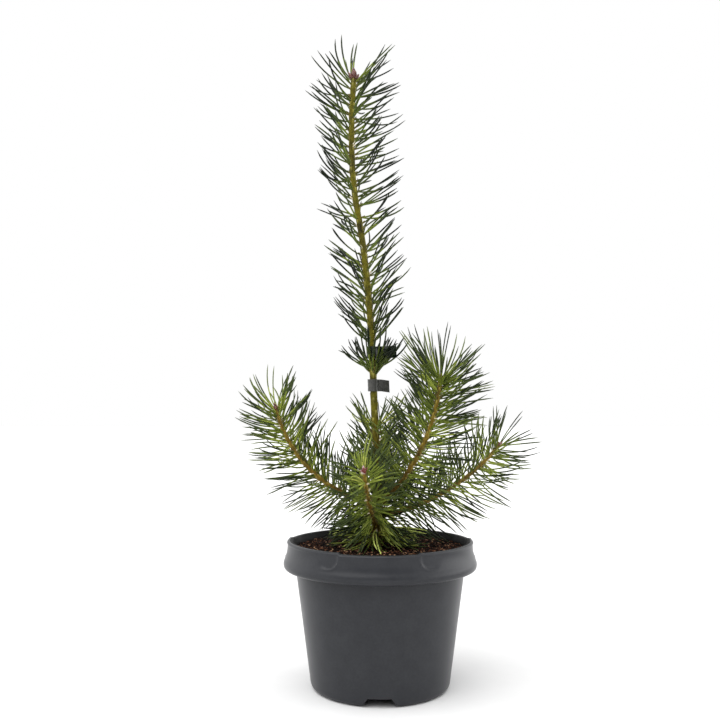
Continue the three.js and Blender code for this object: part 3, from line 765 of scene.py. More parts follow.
# Needles: pairs of stiff twisted needles, each pair in a short sheath on its leaf base. They grow by
# the solids' own seeded rule, a golden angle on from each other, clear of all limbs, with finer ones
# between. At the foot of the trunk a fan over the soil and a level skirt belong to the lowest mass.
TRUNK_MASSES = {
    "trunk_low": dict(start=148, end=158.5, spread=(108, 96), spacing=0.55, needle=50, seed=61, finer=1.2,
                      covered=True),
    "trunk_middle": dict(start=193, end=274, spread=(66, 34), spacing=2.1, needle=46, seed=67, finer=1.0),
    "leader_low": dict(start=318, end=334, spread=(36, 34), spacing=1.6, needle=45, seed=71, finer=2.0,
                       covered=True),
    "leader_middle": dict(start=352, end=494, spread=(36, 58), spacing=2.4, needle=50, seed=79, finer=0.5,
                          crowd=2.2),
    "leader_top": dict(start=495, end=640, spread=(60, 54), spacing=2.2, needle=55, seed=83,
                       drift=0.12, tuft=0.94, finer=0.45),
}
SKIRTS = [
    dict(grown=(157, 182), spread=(134, 118), spacing=0.95, needle=52, seed=97, covered=True,
         mix="low_fan"),
    dict(grown=(160, 188), spread=(108, 92), spacing=0.45, needle=59, seed=101, drift=-0.2,
         mix="low_level"),
]
BANDS = {
    "upper": dict(low=337, high=349.5, tail=22, sweep=-4, droop=-0.6),
    "lower": dict(low=302.5, high=315, tail=13, sweep=3, droop=1.6),
}
BAND_THICKNESS = 1.1
JOINT_GAP = 0.3
NEEDLE_CLEAR_RADIUS = 0.62
TURN_PLAY = 26
LEAN_PLAY = 20
LENGTH_PLAY = 0.2
TUFT_START = 0.86
TUFT_CLOSE = 0.54
TRIES = 5
BUD_CLEAR = 6
FINER_SEED = 500
FINER_SHORTER = 0.1
FINER_CROWDING = 1.4
SIDES_BARE_FROM = 0.78
FRONT_BARE_FROM = 0.9
TO_BACK = np.array([1, -1, 1])
ROOT_SHARE = 0.16
ROOT_DEPTH = 0.6
POT_CLEARANCE = 2.2
POT_TESTED_AT = (0.4, 0.6, 0.8, 1)
POT_TOUCH = 0.01
PARALLEL = 1e-9
BUD_SWELL = (0.7, 1.5)
BUD_CLOSING = (0.95, 2.4)
TRUNK_PIECES = 24
LIMB_PIECES = 3
STEM_PIECES = 8
NEEDLE_MARGIN = 1


def seeded(seed):
    """Random numbers from 0 to 1 that are the same for the same seed."""
    state = seed
    while True:
        state = state * 48271 % 2147483647
        yield state / 2147483647


class Obstacles:
    """Stretches that a needle keeps clear of, each with a radius and an owner."""

    def __init__(self):
        self.rows = []

    def add(self, owner, start, end, radius, outer=None):
        grown = outer is not None
        self.rows.append((owner, grown, start, outer if grown else start, end, radius))

    def add_line(self, owner, at, radius, count):
        for i in range(count):
            self.add(owner, at(i / count), at((i + 1) / count), radius)

    def clear_of(self, shoot, root, outer, tip, finer):
        """True if a needle touches nothing but its own mass and its carrier, near its root. A needle of
        the finer growth keeps clear of the limbs alone."""
        owners, grown, starts, outers, ends, radii = (np.array(column) for column in zip(*self.rows))
        own = owners == shoot["name"]
        near = own | (owners == shoot["carrier"])
        starts = np.where((near & grown)[:, None], outers, starts)
        needle_start = np.where(near[:, None], outer, root)
        gaps = stretch_distances(needle_start, tip, starts, ends)
        reach = radii + NEEDLE_CLEAR_RADIUS + JOINT_GAP
        return bool(np.all((gaps > reach) | (own & ~grown) | (finer & grown)))


def stretch_distances(a, b, c, d):
    """Shortest distances between straight stretches a to b and c to d, row by row."""
    ab, cd, ca = b - a, d - c, a - c
    aa, bb, both = (ab * ab).sum(1), (cd * cd).sum(1), (ab * cd).sum(1)
    ea, fb = (ab * ca).sum(1), (cd * ca).sum(1)
    spread = aa * bb - both * both
    meeting = (both * fb - ea * bb) / np.maximum(spread, PARALLEL)
    s = np.where(spread > PARALLEL, np.clip(meeting, 0, 1), 0)
    t = np.clip((both * s + fb) / bb, 0, 1)
    s = np.clip((both * t - ea) / aa, 0, 1)
    return np.linalg.norm(a + ab * s[:, None] - c - cd * t[:, None], axis=1)


def lowest_at(point):
    over_lip = math.hypot(point[0], point[1]) > LIP_INNER_RADIUS - POT_CLEARANCE
    return (LIP_HEIGHT if over_lip else SOIL_TOP) + POT_CLEARANCE


def settled_tip(root, direction, length):
    """A needle that hangs down to the soil or the lip rests just over it instead."""
    tip = root + direction * length
    lowest = lowest_at(tip)
    if tip[2] >= lowest:
        return tip
    flat = np.array([direction[0], direction[1], 0]) / math.hypot(direction[0], direction[1])
    drop = lowest - root[2]
    resting = root + flat * math.sqrt(length**2 - drop**2)
    resting[2] = lowest
    return resting


def keeps_to_pot(root, tip):
    points = [root + (tip - root) * share for share in POT_TESTED_AT]
    return all(point[2] >= lowest_at(point) - POT_TOUCH for point in points)


def tuft_at(shoot, k, share):
    """How far a needle stands up round the bud at its shoot's end. Every second one there does."""
    return smoothstep(TUFT_START, 1, share) if "tuft" in shoot and k % 2 == 0 else 0


def crowded(shoot, share):
    """Where along its stem a needle of the finer growth stands: closer together towards a tuft."""
    if "tuft" in shoot:
        return 1 - (1 - share) ** FINER_CROWDING
    return share ** shoot.get("crowd", 1)


def grow_needles(shoot, frame_at, root_distance, finer=False):
    """One needle place at each step along the stem. One that touches anything is tried again, and one
    that would hide a bare stem from the front isn't kept, or stands behind the bud at the trunk's tip.
    The finer growth fills in between the first, to the same reach, from a seed of its own."""
    random = seeded(shoot["seed"] + FINER_SEED * finer)
    start, end = shoot["grown"]
    spacing = shoot["spacing"] / (shoot.get("finer", 1) if finer else 1)
    needles = []
    count = int((end - start) / spacing)
    for k in range(count):
        s = start + (k + 0.5) * spacing
        if finer:
            s = start + crowded(shoot, (k + 0.5) / count) * (end - start)
        centre, along, across, over = frame_at(s)
        tuft = tuft_at(shoot, k, k / count)
        low, high = shoot["spread"]
        spread = (low + (high - low) * k / count) * (1 - TUFT_CLOSE * tuft)
        longer = tuft * (shoot.get("tuft", 1) - 1) - FINER_SHORTER * finer
        for attempt in range(TRIES):
            turn = math.radians(k * GOLDEN_ANGLE + (next(random) - 0.5) * TURN_PLAY * (1 + attempt))
            lean = math.radians(spread + (next(random) - 0.5) * LEAN_PLAY * (1 + finer))
            length = shoot["needle"] * (1 + longer + (next(random) - 0.5) * LENGTH_PLAY * (1 + finer))
            outward = across * math.cos(turn) + over * math.sin(turn)
            at_side = shoot["carrier"] != "trunk" and abs(math.cos(turn)) > SIDES_BARE_FROM
            if finer and tuft == 0 and at_side:
                break
            direction = along * math.cos(lean) + outward * math.sin(lean)
            direction = direction + np.array([shoot.get("drift", 0), 0, shoot.get("lift", 0)])
            direction /= np.linalg.norm(direction)
            root = centre + outward * root_distance(s)
            tip = settled_tip(root, direction, length)
            outer = root + (tip - root) * ROOT_SHARE
            if keeps_to_pot(root, tip) and obstacles.clear_of(shoot, root, outer, tip, finer):
                if not finer:
                    obstacles.add(shoot["name"], root, tip, NEEDLE_CLEAR_RADIUS, outer)
                covered = tuft > 0 and s < end - BUD_CLEAR or "covered" in shoot
                facing = -outward[1] / math.sqrt(1 - along[1]**2)
                before_bud = tuft > 0 and not covered and shoot["carrier"] == "trunk"
                if before_bud and facing >= FRONT_BARE_FROM:
                    root, tip = (centre + (place - centre) * TO_BACK for place in (root, tip))
                    outward, facing = outward * TO_BACK, -facing
                if covered or facing < FRONT_BARE_FROM:
                    needles.append(dict(root=root, tip=tip, along=along, outward=outward, s=s, turn=turn,
                                        mix=shoot.get("mix", shoot["name"])))
                break
    return needles


def bough_stem_radius(bough, s):
    """A bough's radius within its mass, with the bud that it ends in."""
    into_bud = np.clip((s - bough["length"]) / BOUGH_BUD + 1, 0, 1)
    bud = BUD_SWELL[0] * math.sin(math.pi * min(into_bud * BUD_SWELL[1], 1))
    return (bough_radius(bough, s) + bud) * math.sqrt(1 - BUD_CLOSING[0] * into_bud ** BUD_CLOSING[1])


def trunk_root_distance(height):
    return trunk_radius(height) + JOINT_GAP


obstacles = Obstacles()
obstacles.add_line("trunk", lambda t: trunk_axis(GROUND + (TRUNK_TIP - GROUND) * t), TRUNK_FOOT_RADIUS,
                   TRUNK_PIECES)
for bough in BOUGHS.values():
    for owner, start, end, count in (
            (bough["carrier"], 0, bough["bare"], LIMB_PIECES),
            (bough["name"], bough["bare"], bough["length"], STEM_PIECES)):
        obstacles.add_line(owner, lambda t: bough_frame(bough, start + (end - start) * t)[0],
                           bough["radius"], count)
for band in BANDS.values():
    middle = trunk_axis((band["low"] + band["high"]) / 2)
    tail_end = middle + np.array([TRUNK_TOP_RADIUS + BAND_THICKNESS + band["tail"], band["sweep"], 0])
    half = (band["high"] - band["low"]) / 2
    for rise in (-half, 0, half):
        offset = np.array([0, 0, rise])
        obstacles.add("band", middle + offset, tail_end + offset, half / 2)

for bough in BOUGHS.values():
    bough["grown"] = (bough["bare"] + JOINT_GAP + NEEDLE_MARGIN, bough["length"] - BOUGH_BUD)
for name, mass in TRUNK_MASSES.items():
    grown = (mass["start"] + NEEDLE_MARGIN, mass["end"] - NEEDLE_MARGIN)
    mass.update(name=name, carrier="trunk", grown=grown)

shoots = {name: [] for name in [*BOUGHS, *TRUNK_MASSES]}
for finer in (False, True):
    for name, bough in BOUGHS.items():
        shoots[name] += grow_needles(bough, lambda s: bough_frame(bough, s),
                                     lambda s: bough_stem_radius(bough, s) * ROOT_DEPTH, finer)
    for name, mass in TRUNK_MASSES.items():
        shoots[name] += grow_needles(mass, level_frame, trunk_root_distance, finer)
for skirt in SKIRTS:
    skirt.update(name="trunk_low", carrier="trunk")
    shoots["trunk_low"] += grow_needles(skirt, level_frame, trunk_root_distance, finer=True)

# The leaf bases' light tint is partly their own paler colour and partly painted highlight, for the bright
# flecks of the lit stem.
trunk_bark = bark_finish("trunk bark", young=tint(112, 106, 26), old=tint(112, 92, 32),
                         leaf_base_and_highlight=tint(196, 188, 98), age_from=200, age_to=290)
bough_bark = bark_finish("bough bark", young=tint(136, 112, 42), old=tint(116, 90, 40),
                         leaf_base_and_highlight=tint(188, 168, 84), age_from=10, age_to=90)

needle_bases = [(needle["s"], needle["turn"]) for name in TRUNK_MASSES for needle in shoots[name]]
scars = [scar for stretch in SCARRED for scar in leaf_bases(*stretch)]
trunk = bark_limb("trunk_bark", GROUND, TRUNK_TIP - TRUNK_BUD, level_frame, trunk_radius,
                  needle_bases + scars, FLARE_LOBE_DEPTH)
trunk.data.materials.append(trunk_bark)
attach(trunk, "root")
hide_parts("trunk")

for name, bough in BOUGHS.items():
    bases = [(needle["s"], needle["turn"]) for needle in shoots[name]]
    bases += leaf_bases(BOUGH_SCARS_FROM, bough["bare"], 0)
    limb = bark_limb(f"bough_{name}_bark", 0, bough["length"] - BOUGH_BUD * (1 - BARK_INTO_BUD),
                     lambda s: bough_frame(bough, s), lambda s: collared_radius(bough, s), bases)
    limb.data.materials.append(bough_bark)
    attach(limb, "root")
    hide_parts(f"bough_{name}")

NEEDLE_WIDTH = 0.82
LEADER_NEEDLE_WIDTH = 0.96
NEEDLE_TWIST = 1.1
PAIR_OPENING = (2.0, 5.5)
NEEDLE_BOW = (-2.4, 4.6)
NEEDLE_SWAY = 3.6
TIP_PLAY = 4.5
TIP_SHORT = 3
NEEDLE_SINK = 1.1
SHEATH_LENGTH = 5
SHEATH_WIDTH = 0.98
IVORY_EVERY = 8
IVORY_FIRST = 3
SPRAY = 3
TIP_FROM = 0.5
BOW_SCALE = 4 * MM
PAIR_LENGTH = (0.95, 1.0)
NEEDLE_SHADES = (0.82, 1.16)
SPRIG_LABELS = ("aim", "side", "size", "bow", "spray")


def named(tree, name, kind="FLOAT_VECTOR"):
    """What each point carries under a name."""
    return add_node(tree, "GeometryNodeInputNamedAttribute", {"Name": name}, data_type=kind).outputs[0]


def slim_shape(tree, profile, width, rings, sides, flatness, twist):
    """A slim upright body one unit long, its width following a profile of (share, width)."""
    line = add_node(tree, "GeometryNodeCurvePrimitiveLine", {"Start": (0, 0, 0), "End": (0, 0, 1)})
    points = add_node(tree, "GeometryNodeResampleCurve", {"Curve": line.outputs[0], "Count": rings})
    share = add_node(tree, "GeometryNodeSplineParameter")
    taper = add_node(tree, "ShaderNodeFloatCurve", {"Value": share.outputs["Factor"]})
    curve = taper.mapping.curves[0]
    curve.points[0].location = profile[0]
    curve.points[1].location = profile[-1]
    for place in profile[1:-1]:
        curve.points.new(*place)
    taper.mapping.update()
    tilt = maths(tree, "MULTIPLY", share.outputs["Factor"], twist)
    twisted = add_node(tree, "GeometryNodeSetCurveTilt", {"Curve": points.outputs[0], "Tilt": tilt})
    circle = add_node(tree, "GeometryNodeCurvePrimitiveCircle", {"Resolution": sides, "Radius": width})
    section = add_node(tree, "GeometryNodeTransform", {
        "Geometry": circle.outputs[0], "Scale": (1, flatness, 1)})
    swept = add_node(tree, "GeometryNodeCurveToMesh", {
        "Curve": twisted.outputs[0], "Profile Curve": section.outputs[0], "Scale": taper.outputs[0],
        "Fill Caps": True})
    return swept.outputs[0]


def sprig_tree(name, profile, rings, sides, flatness, finishes):
    """Puts a slim body on every point, aimed and bowed as the point says, in the finish of its spray.
    A finish is one material, or one for the half at the root and one for the half at the tip."""
    tree, given = new_geometry_tree(name, [("Width", "Float"), ("Twist", "Float")])
    shape = slim_shape(tree, profile, given.outputs["Width"], rings, sides, flatness,
                       given.outputs["Twist"])
    place = add_node(tree, "GeometryNodeInputPosition")
    height = add_node(tree, "ShaderNodeSeparateXYZ", {0: place.outputs[0]})
    marked = add_node(tree, "GeometryNodeStoreNamedAttribute", {
        "Geometry": shape, "Name": "reach_share", "Value": height.outputs["Z"]})
    facing = add_node(tree, "FunctionNodeAxesToRotation", {
        "Primary Axis": named(tree, "aim"), "Secondary Axis": named(tree, "side")},
        primary_axis="Z", secondary_axis="X")
    placed = add_node(tree, "GeometryNodeInstanceOnPoints", {
        "Points": given.outputs["Geometry"], "Instance": marked.outputs[0], "Rotation": facing.outputs[0],
        "Scale": named(tree, "size")})
    real = add_node(tree, "GeometryNodeRealizeInstances", {"Geometry": placed.outputs[0]})
    share = named(tree, "reach_share", "FLOAT")
    hump = maths(tree, "MULTIPLY", share, maths(tree, "SUBTRACT", 1.0, share))
    bow = add_node(tree, "ShaderNodeVectorMath", {0: named(tree, "bow"), "Scale": hump}, operation="SCALE")
    bent = add_node(tree, "GeometryNodeSetPosition", {
        "Geometry": real.outputs[0], "Offset": bow.outputs[0]})
    spray = named(tree, "spray", "FLOAT")
    result = bent.outputs[0]
    for k, (root_finish, *tip_finishes) in enumerate(finishes):
        chosen = add_node(tree, "FunctionNodeCompare", {0: spray, 1: float(k), "Epsilon": 0.1},
                          operation="EQUAL")
        result = add_node(tree, "GeometryNodeSetMaterial", {
            "Geometry": result, "Selection": chosen.outputs[0], "Material": root_finish}).outputs[0]
        for tip_finish in tip_finishes:
            far = add_node(tree, "FunctionNodeCompare", {0: share, 1: TIP_FROM})
            both = add_node(tree, "FunctionNodeBooleanMath", {0: chosen.outputs[0], 1: far.outputs[0]})
            result = add_node(tree, "GeometryNodeSetMaterial", {
                "Geometry": result, "Selection": both.outputs[0], "Material": tip_finish}).outputs[0]
    add_node(tree, "NodeGroupOutput", {"Geometry": result})
    return tree


def sprig_piece(name, tree, rows, inputs):
    """Makes one piece from rows of root, aim, side, size, bow and spray. The root is in millimetres."""
    piece = link_piece(name, [row["root"] for row in rows], [])
    for label in SPRIG_LABELS:
        carry(piece, label, [row[label] for row in rows])
    result_of(piece, tree, inputs)
    for label in (*SPRIG_LABELS, "reach_share"):
        if label in piece.data.attributes:
            piece.data.attributes.remove(piece.data.attributes[label])
    piece.data.shade_smooth()
    return piece


def needle_finish(name, root, tip):
    """The two finishes of a spray's needles: for the half at the sheath and for the half at the tip."""
    def half(part, colour):
        colours = [tint(*(shade * channel for channel in colour)) for shade in NEEDLE_SHADES]
        return finish(f"{name} needle {part}", colours, grain_mm=3, relief_mm=0.02,
                      roughness=(0.46, 0.62), specular=0.2)

    return half("root", root), half("tip", tip)


# Every tip colour is darker than its root colour: painted shade, for the dark needle ends at the outline of
# the crown.
needle_finishes = [
    needle_finish("green", (108, 121, 48), (60, 71, 37)),
    needle_finish("deep green", (79, 92, 39), (37, 46, 26)),
    needle_finish("bright green", (140, 152, 66), (92, 104, 51)),
    needle_finish("yellow green", (184, 190, 92), (136, 147, 70)),
    needle_finish("grey green", (62, 72, 32), (25, 32, 19)),
    # Painted light: near-white greens that make the fan and the needles at the trunk's foot look lit under
    # the crown's shade.
    needle_finish("painted light green", (226, 234, 128), (196, 210, 112)),
]
GREEN, DEEP, BRIGHT, YELLOW, GREY, PAINTED_LIGHT = range(len(needle_finishes))
MIX_OUTER = [GREEN, DEEP, GREEN, BRIGHT, DEEP, GREEN, BRIGHT, GREEN]
MIX_INNER = [GREEN, BRIGHT, DEEP, GREEN, BRIGHT, GREEN, YELLOW, BRIGHT, GREEN, DEEP, BRIGHT, GREEN]
# The darkest mix is painted shade: the back bough and the leader masses take deep and grey greens so that
# they look shaded, and the right outer bough's mix leans darker for the same reason.
MIX_PAINTED_SHADE = [DEEP, GREY, GREEN, DEEP, GREY, DEEP]
MIX_OF = {
    "left": MIX_OUTER,
    "front": MIX_INNER,
    "right_inner": MIX_OUTER,
    "right_outer": [GREEN, DEEP, GREEN, DEEP, BRIGHT],
    "back": MIX_PAINTED_SHADE,
    # The fan and the trunk's foot take the painted light finish.
    "trunk_low": [PAINTED_LIGHT, YELLOW, GREEN],
    "low_fan": [PAINTED_LIGHT, PAINTED_LIGHT, YELLOW],
    "low_level": [DEEP, GREEN, GREY, BRIGHT, DEEP],
    "trunk_middle": MIX_INNER,
    "leader_low": MIX_PAINTED_SHADE,
    "leader_middle": MIX_PAINTED_SHADE,
    "leader_top": MIX_PAINTED_SHADE,
}
sheath_finish, ivory_finish = (
    finish(name, colours, grain_mm=0.8, relief_mm=0.06, roughness=(0.7, 0.9))
    for name, colours in (
        ("needle sheath", [tint(74, 68, 30), tint(118, 110, 60)]),
        ("papery sheath", [tint(196, 180, 148), tint(240, 230, 210)])))


def unit(vector):
    return vector / np.linalg.norm(vector)


def needle_rows(name, needles):
    """Each needle place as a pair of needles and a sheath, in the finish of its spray."""
    random = np.random.default_rng(len(name) + 7 * len(needles))
    rows, sheaths = [], []
    for k, needle in enumerate(needles):
        reach = needle["tip"] - needle["root"]
        length = np.linalg.norm(reach)
        aim = reach / length
        turned = random.uniform(0, math.pi)
        first = unit(np.cross(aim, needle["along"] + 0.01 * needle["outward"]))
        side = first * math.cos(turned) + np.cross(aim, first) * math.sin(turned)
        opening = random.uniform(*PAIR_OPENING)
        lifted = needle["along"] - aim * (needle["along"] @ aim)
        bow = -unit(lifted + 1e-6 * first) * random.uniform(*NEEDLE_BOW) * BOW_SCALE
        bow = bow + first * random.uniform(-NEEDLE_SWAY, NEEDLE_SWAY) * BOW_SCALE
        root = needle["root"] - needle["outward"] * NEEDLE_SINK
        mix = MIX_OF[needle["mix"]]
        spray = mix[int(random.integers(len(mix)))] if k % SPRAY == 0 else rows[-1]["spray"]
        astray = random.uniform(-TIP_PLAY, TIP_PLAY, 3)
        for sign in (-1, 1):
            tip = needle["tip"] + side * sign * opening + astray - aim * TIP_SHORT
            pointing = tip - root
            size = np.array([1, 1, np.linalg.norm(pointing) * MM * random.uniform(*PAIR_LENGTH)])
            rows.append(dict(root=root, aim=unit(pointing), side=side * sign, size=size,
                             bow=bow + side * sign * opening * MM, spray=spray))
        sheaths.append(dict(root=root, aim=aim, side=side, size=np.array([1, 1, SHEATH_LENGTH * MM]),
                            bow=np.zeros(3), spray=int(k % IVORY_EVERY == IVORY_FIRST)))
    return rows, sheaths


needle_shapes = sprig_tree("needle pairs", [(0, 0.7), (0.15, 0.95), (0.6, 1.0), (0.93, 0.82), (1, 0.2)],
                           rings=9, sides=5, flatness=0.78, finishes=needle_finishes)
sheath_shapes = sprig_tree("needle sheaths", [(0, 0.9), (0.4, 1.0), (1, 0.72)],
                           rings=4, sides=7, flatness=0.9, finishes=[(sheath_finish,), (ivory_finish,)])
all_sheaths = []
for name, needles in shoots.items():
    rows, sheaths = needle_rows(name, needles)
    all_sheaths.extend(sheaths)
    width = LEADER_NEEDLE_WIDTH if name.startswith("leader") else NEEDLE_WIDTH
    foliage = sprig_piece(f"pine_needles_{name}", needle_shapes, rows,
                          {"Width": width * MM, "Twist": NEEDLE_TWIST})
    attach(foliage, "root")
    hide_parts(f"needles_{name}")
sheath_piece = sprig_piece("needle_sheaths", sheath_shapes, all_sheaths,
                           {"Width": SHEATH_WIDTH * MM, "Twist": 0.0})
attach(sheath_piece, "root")

# Winter buds: a large pointed bud at the end of every shoot with smaller ones round it, each made of
# overlapping reddish brown scales that are stuck together and frosted with white resin.
LEADER_BUD = dict(length=11.5, radius=2.9, shade=0)
FRONT_BUD = dict(length=7.5, radius=1.8, shade=1)
BOUGH_END_BUD = dict(length=6.5, radius=1.4, shade=0)
LEADER_BUD_DOWN = 11
BUD_FOOT = 0.18
BUD_SHOULDER = 0.8
BUD_FULLNESS = 0.75
BUD_POINT = 0.02
BUD_CORE_SHARE = 0.86
BUD_SCALES = 46
BUD_SIDES = 12
BUD_RINGS = 9
SIDE_BUDS = 4
SIDE_BUD_SHARE = 0.62
SIDE_BUD_LEAN = 34
SIDE_BUD_TURN = 40
SIDE_BUD_APART = 0.6
SCALES_FROM = 0.02
SCALES_OVER = 0.86
SCALES_CLOSING = 0.9
SCALE_SINK = 0.8
SCALE_SPREAD = 0.12
SCALE_STEP = 0.05
SCALE_THICKNESS = 0.42
SCALE_WIDTH = (0.45, 0.4)
SCALE_LENGTH = (0.5, 0.26)
SCALE_BOW = 0.25
ASKEW = np.array([0.31, 0.95, 0.05])


def bud_width(share):
    """A bud's width along it, as a share of its widest."""
    if share >= 1:
        return BUD_POINT
    along = BUD_FOOT + (1 - BUD_FOOT) * share
    return math.sin(math.pi * along ** BUD_SHOULDER) ** BUD_FULLNESS


def frame_from(aim):
    """Two directions square to an aim."""
    side = unit(np.cross(aim, ASKEW))
    return side, np.cross(aim, side)


def bud_core(base, aim, length, radius):
    side, other = frame_from(aim)
    around = np.linspace(0, 2 * math.pi, BUD_SIDES, endpoint=False)
    circle = np.outer(np.cos(around), side) + np.outer(np.sin(around), other)
    rings = [np.repeat(base[None], BUD_SIDES, 0)]
    for share in np.linspace(0, 1, BUD_RINGS):
        rings.append(base + aim * length * share + circle * radius * bud_width(share) * BUD_CORE_SHARE)
    rings.append(np.repeat((base + aim * length)[None], BUD_SIDES, 0))
    return closed_at_poles(np.array(rings))


def bud_scales(base, aim, length, radius, shade):
    """The places of a bud's scales, a golden angle on from each other and closer towards its point."""
    side, other = frame_from(aim)
    rows = []
    for k in range(BUD_SCALES):
        share = SCALES_FROM + SCALES_OVER * (k / BUD_SCALES) ** SCALES_CLOSING
        turn = math.radians(k * GOLDEN_ANGLE)
        outward = side * math.cos(turn) + other * math.sin(turn)
        width = radius * bud_width(share)
        next_width = radius * bud_width(min(share + SCALE_STEP, 1))
        slope = (next_width - width) / (SCALE_STEP * length)
        pointing = unit(aim + outward * (slope * SCALE_SINK + SCALE_SPREAD))
        root = base + aim * length * share + outward * width * SCALE_SINK
        size = np.array([SCALE_WIDTH[0] + SCALE_WIDTH[1] * width, SCALE_THICKNESS,
                         SCALE_LENGTH[0] + SCALE_LENGTH[1] * length]) * MM
        rows.append(dict(root=root, aim=pointing, side=np.cross(pointing, outward), size=size,
                         bow=outward * radius * SCALE_BOW * MM, spray=shade))
    return rows


def bud_whorl(base, aim, length, radius):
    """The bud at a shoot's end and the smaller ones round it, each as (base, aim, length, radius)."""
    side, other = frame_from(aim)
    lean = math.radians(SIDE_BUD_LEAN)
    buds = [(base, aim, length, radius)]
    for k in range(SIDE_BUDS):
        turn = math.radians(SIDE_BUD_TURN + k * 360 / SIDE_BUDS)
        outward = side * math.cos(turn) + other * math.sin(turn)
        side_aim = aim * math.cos(lean) + outward * math.sin(lean)
        side_base = base + outward * radius * SIDE_BUD_APART
        buds.append((side_base, side_aim, length * SIDE_BUD_SHARE, radius * SIDE_BUD_SHARE))
    return buds


bud_brown, bud_crimson = (
    finish(name, colours, grain_mm=0.7, relief_mm=0.05, roughness=(0.35, 0.6), unevenness=1.0)
    for name, colours in (
        ("bud scale", [tint(50, 19, 15), tint(86, 37, 31), tint(186, 150, 136)]),
        ("crimson bud scale", [tint(78, 14, 18), tint(122, 48, 46), tint(250, 240, 236)])))
shoot_ends = [(trunk_axis(TRUNK_TIP - LEADER_BUD_DOWN), np.array([0.0, 0, 1]), LEADER_BUD)]
for name, bough in BOUGHS.items():
    centre, along, _, _ = bough_frame(bough, bough["length"] - BOUGH_BUD)
    shoot_ends.append((centre, along, FRONT_BUD if name == "front" else BOUGH_END_BUD))

core_bodies, scale_rows = [], []
for base, aim, size in shoot_ends:
    for bud in bud_whorl(base, aim, size["length"], size["radius"]):
        core_bodies.append(bud_core(*bud))
        scale_rows.extend(bud_scales(*bud, size["shade"]))
cores = link_piece("bud_cores", *joined(core_bodies), bud_brown)
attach(cores, "root")
scale_shapes = sprig_tree("bud scales", [(0, 0.7), (0.35, 1.0), (0.75, 0.6), (1, 0.05)],
                          rings=5, sides=6, flatness=1.0, finishes=[(bud_brown,), (bud_crimson,)])
scales = sprig_piece("bud_scales", scale_shapes, scale_rows, {"Width": 1.0, "Twist": 0.0})
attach(scales, "root")

# Tape bands: two bands of garden tape, the upper one dark green and the lower one faded, each wrapped
# once round the stem with its two ends pressed together into a flat tail that stands out to the right.
TAPE_THICKNESS = 0.34
TAPE_STEP = 0.8
TAPE_ROWS = 12
TAPE_GAP = 1.5
TAPE_SHIFT = -0.7
TAPE_OPENING = 24
TAPE_WRAP_POINTS = 40
TAIL_FROM = 1.6
TAIL_APART = 0.62
TAIL_WAVE = (0.35, 0.42)
TAPE_RIPPLE = (0.07, 1.9, 0.5)
TAPE_CURL = (0.25, 6)
DROOP_FROM = 8
TAPE_SHARP_FROM = 50


def tape_path(band, height):
    """The tape's middle line in plan: in along the tail, once round the stem and out again."""
    middle = trunk_axis(height)[:2] + np.array([TAPE_SHIFT, 0])
    radius = trunk_radius(height) + TAPE_GAP
    sweep = math.atan2(band["sweep"], band["tail"])
    opening = math.radians(TAPE_OPENING)
    around = np.linspace(sweep + opening, sweep + 2 * math.pi - opening, TAPE_WRAP_POINTS)
    wrap = middle + radius * np.stack([np.cos(around), np.sin(around)], -1)
    out = np.array([math.cos(sweep), math.sin(sweep)])
    left = np.array([-out[1], out[0]])
    distances = np.arange(radius + TAIL_FROM, radius + band["tail"], TAPE_STEP)
    wave = TAIL_WAVE[0] * np.sin(distances * TAIL_WAVE[1])
    outward = middle + distances[:, None] * out
    near, far = (outward + left * (side * TAPE_THICKNESS * TAIL_APART + wave)[:, None] for side in (1, -1))
    return np.concatenate([near[::-1], wrap, far])


def tape_band(name, band):
    """A band as one sheet of rows of points up its width, curled a little at both edges."""
    heights = np.linspace(band["low"], band["high"], TAPE_ROWS)
    depth, row_step, path_step = TAPE_RIPPLE
    rows = []
    for k, height in enumerate(heights):
        path = tape_path(band, height)
        curl = TAPE_CURL[0] * abs(2 * k / (TAPE_ROWS - 1) - 1) ** TAPE_CURL[1]
        direction = np.gradient(path, axis=0)
        normal = np.stack([direction[:, 1], -direction[:, 0]], -1)
        normal /= np.linalg.norm(normal, axis=1)[:, None]
        ripple = depth * np.sin(k * row_step + np.arange(len(path)) * path_step)[:, None]
        from_trunk = np.hypot(*(path - trunk_axis(height)[:2]).T)
        along_tail = np.maximum(from_trunk - DROOP_FROM, 0) / band["tail"]
        rise = (height - band["droop"] * along_tail)[:, None]
        rows.append(np.concatenate([path + normal * (curl + ripple), rise], 1))
    grid = np.array(rows)
    across = grid.shape[1]
    faces = [[r * across + c, r * across + c + 1, (r + 1) * across + c + 1, (r + 1) * across + c]
             for r in range(TAPE_ROWS - 1) for c in range(across - 1)]
    piece = link_piece(name, grid.reshape(-1, 3), faces)
    wall = piece.modifiers.new("wall", "SOLIDIFY")
    wall.thickness = TAPE_THICKNESS * MM
    wall.offset = 0
    kept_result(piece)
    piece.data.set_sharp_from_angle(angle=math.radians(TAPE_SHARP_FROM))
    return piece


tape_plastic = {
    "upper": finish("dark green tape", [tint(7, 14, 8), tint(13, 24, 14), tint(28, 42, 28)], grain_mm=2.2,
                    relief_mm=0.02, roughness=(0.12, 0.2), stretch=(1, 1, 0.3), specular=0.45),
    "lower": finish("faded tape", [tint(48, 49, 46), tint(60, 60, 57), tint(76, 75, 72)], grain_mm=2.2,
                    relief_mm=0.05, roughness=(0.3, 0.45), stretch=(1, 1, 0.3)),
}
for name, band in BANDS.items():
    tape = tape_band(f"garden_tape_{name}", band)
    tape.data.materials.append(tape_plastic[name])
    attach(tape, "root")
    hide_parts(f"tape_band_{name}")

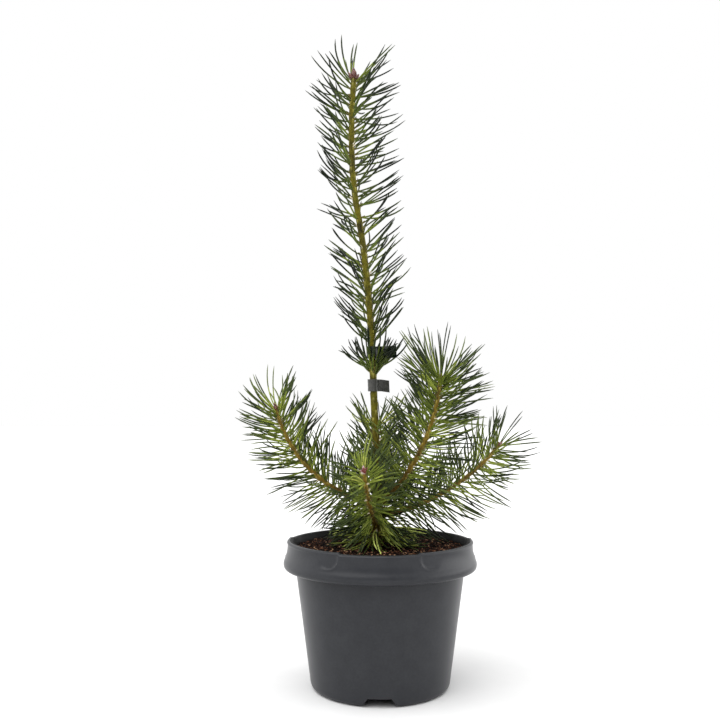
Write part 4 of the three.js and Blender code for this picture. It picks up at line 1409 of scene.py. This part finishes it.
# Studio: a plain pale floor and soft white light. More of it comes from the sides and from above than
# from the front, and one broad lamp stands at the upper left.
FLOOR_REACH = 12000
FRONT_LIGHT = 0.05
BACK_LIGHT = 0.9
FRONT_TO_BACK = (-0.75, 0.35)
ASIDE_LIGHT = 2.15
RIGHT_LIGHT = 1.05
ASIDE_FOCUS = 1.6
TOP_LIGHT = 1.3
TOP_FADE = (0.2, 0.75)
LAMP_LIGHT = 2.0
LAMP_BREADTH = 70
LAMP_TURN = (25, -24, 0)

pale_floor = finish("pale floor", [tint(220, 220, 220), tint(224, 224, 224)], grain_mm=40, relief_mm=0,
                    roughness=(0.9, 1.0), specular=0.0)
corners = [(x * FLOOR_REACH, y * FLOOR_REACH, 0) for x, y in ((-1, -1), (1, -1), (1, 1), (-1, 1))]
floor = link_piece("floor", corners, [[0, 1, 2, 3]], pale_floor)

world = bpy.data.worlds.new("studio")
world.use_nodes = True
sky = world.node_tree
looking = add_node(sky, "ShaderNodeTexCoord")
direction = add_node(sky, "ShaderNodeSeparateXYZ", {0: looking.outputs["Generated"]})
depth = ranged(sky, direction.outputs["Y"], *FRONT_TO_BACK, FRONT_LIGHT, BACK_LIGHT)
overhead = ranged(sky, direction.outputs["Z"], *TOP_FADE)
across = maths(sky, "MULTIPLY", direction.outputs["X"], direction.outputs["X"])
aside = maths(sky, "POWER", across, ASIDE_FOCUS)
skewed = maths(sky, "MULTIPLY_ADD", direction.outputs["X"], RIGHT_LIGHT, ASIDE_LIGHT)
level = maths(sky, "MULTIPLY_ADD", aside, skewed, depth)
around = add_node(sky, "ShaderNodeMix", {0: overhead, 2: level, 3: TOP_LIGHT})
seen = add_node(sky, "ShaderNodeLightPath")
strength = add_node(sky, "ShaderNodeMix", {0: seen.outputs["Is Camera Ray"], 2: around.outputs[0], 3: 1.0})
sky.links.new(strength.outputs[0], sky.nodes["Background"].inputs["Strength"])
sky.nodes["Background"].inputs["Color"].default_value = (1, 1, 1, 1)
bpy.context.scene.world = world

lamp = bpy.data.objects.new("lamp", bpy.data.lights.new("lamp", "SUN"))
lamp.data.energy = LAMP_LIGHT
lamp.data.angle = math.radians(LAMP_BREADTH)
lamp.rotation_euler = [math.radians(turn) for turn in LAMP_TURN]
bpy.context.scene.collection.objects.link(lamp)
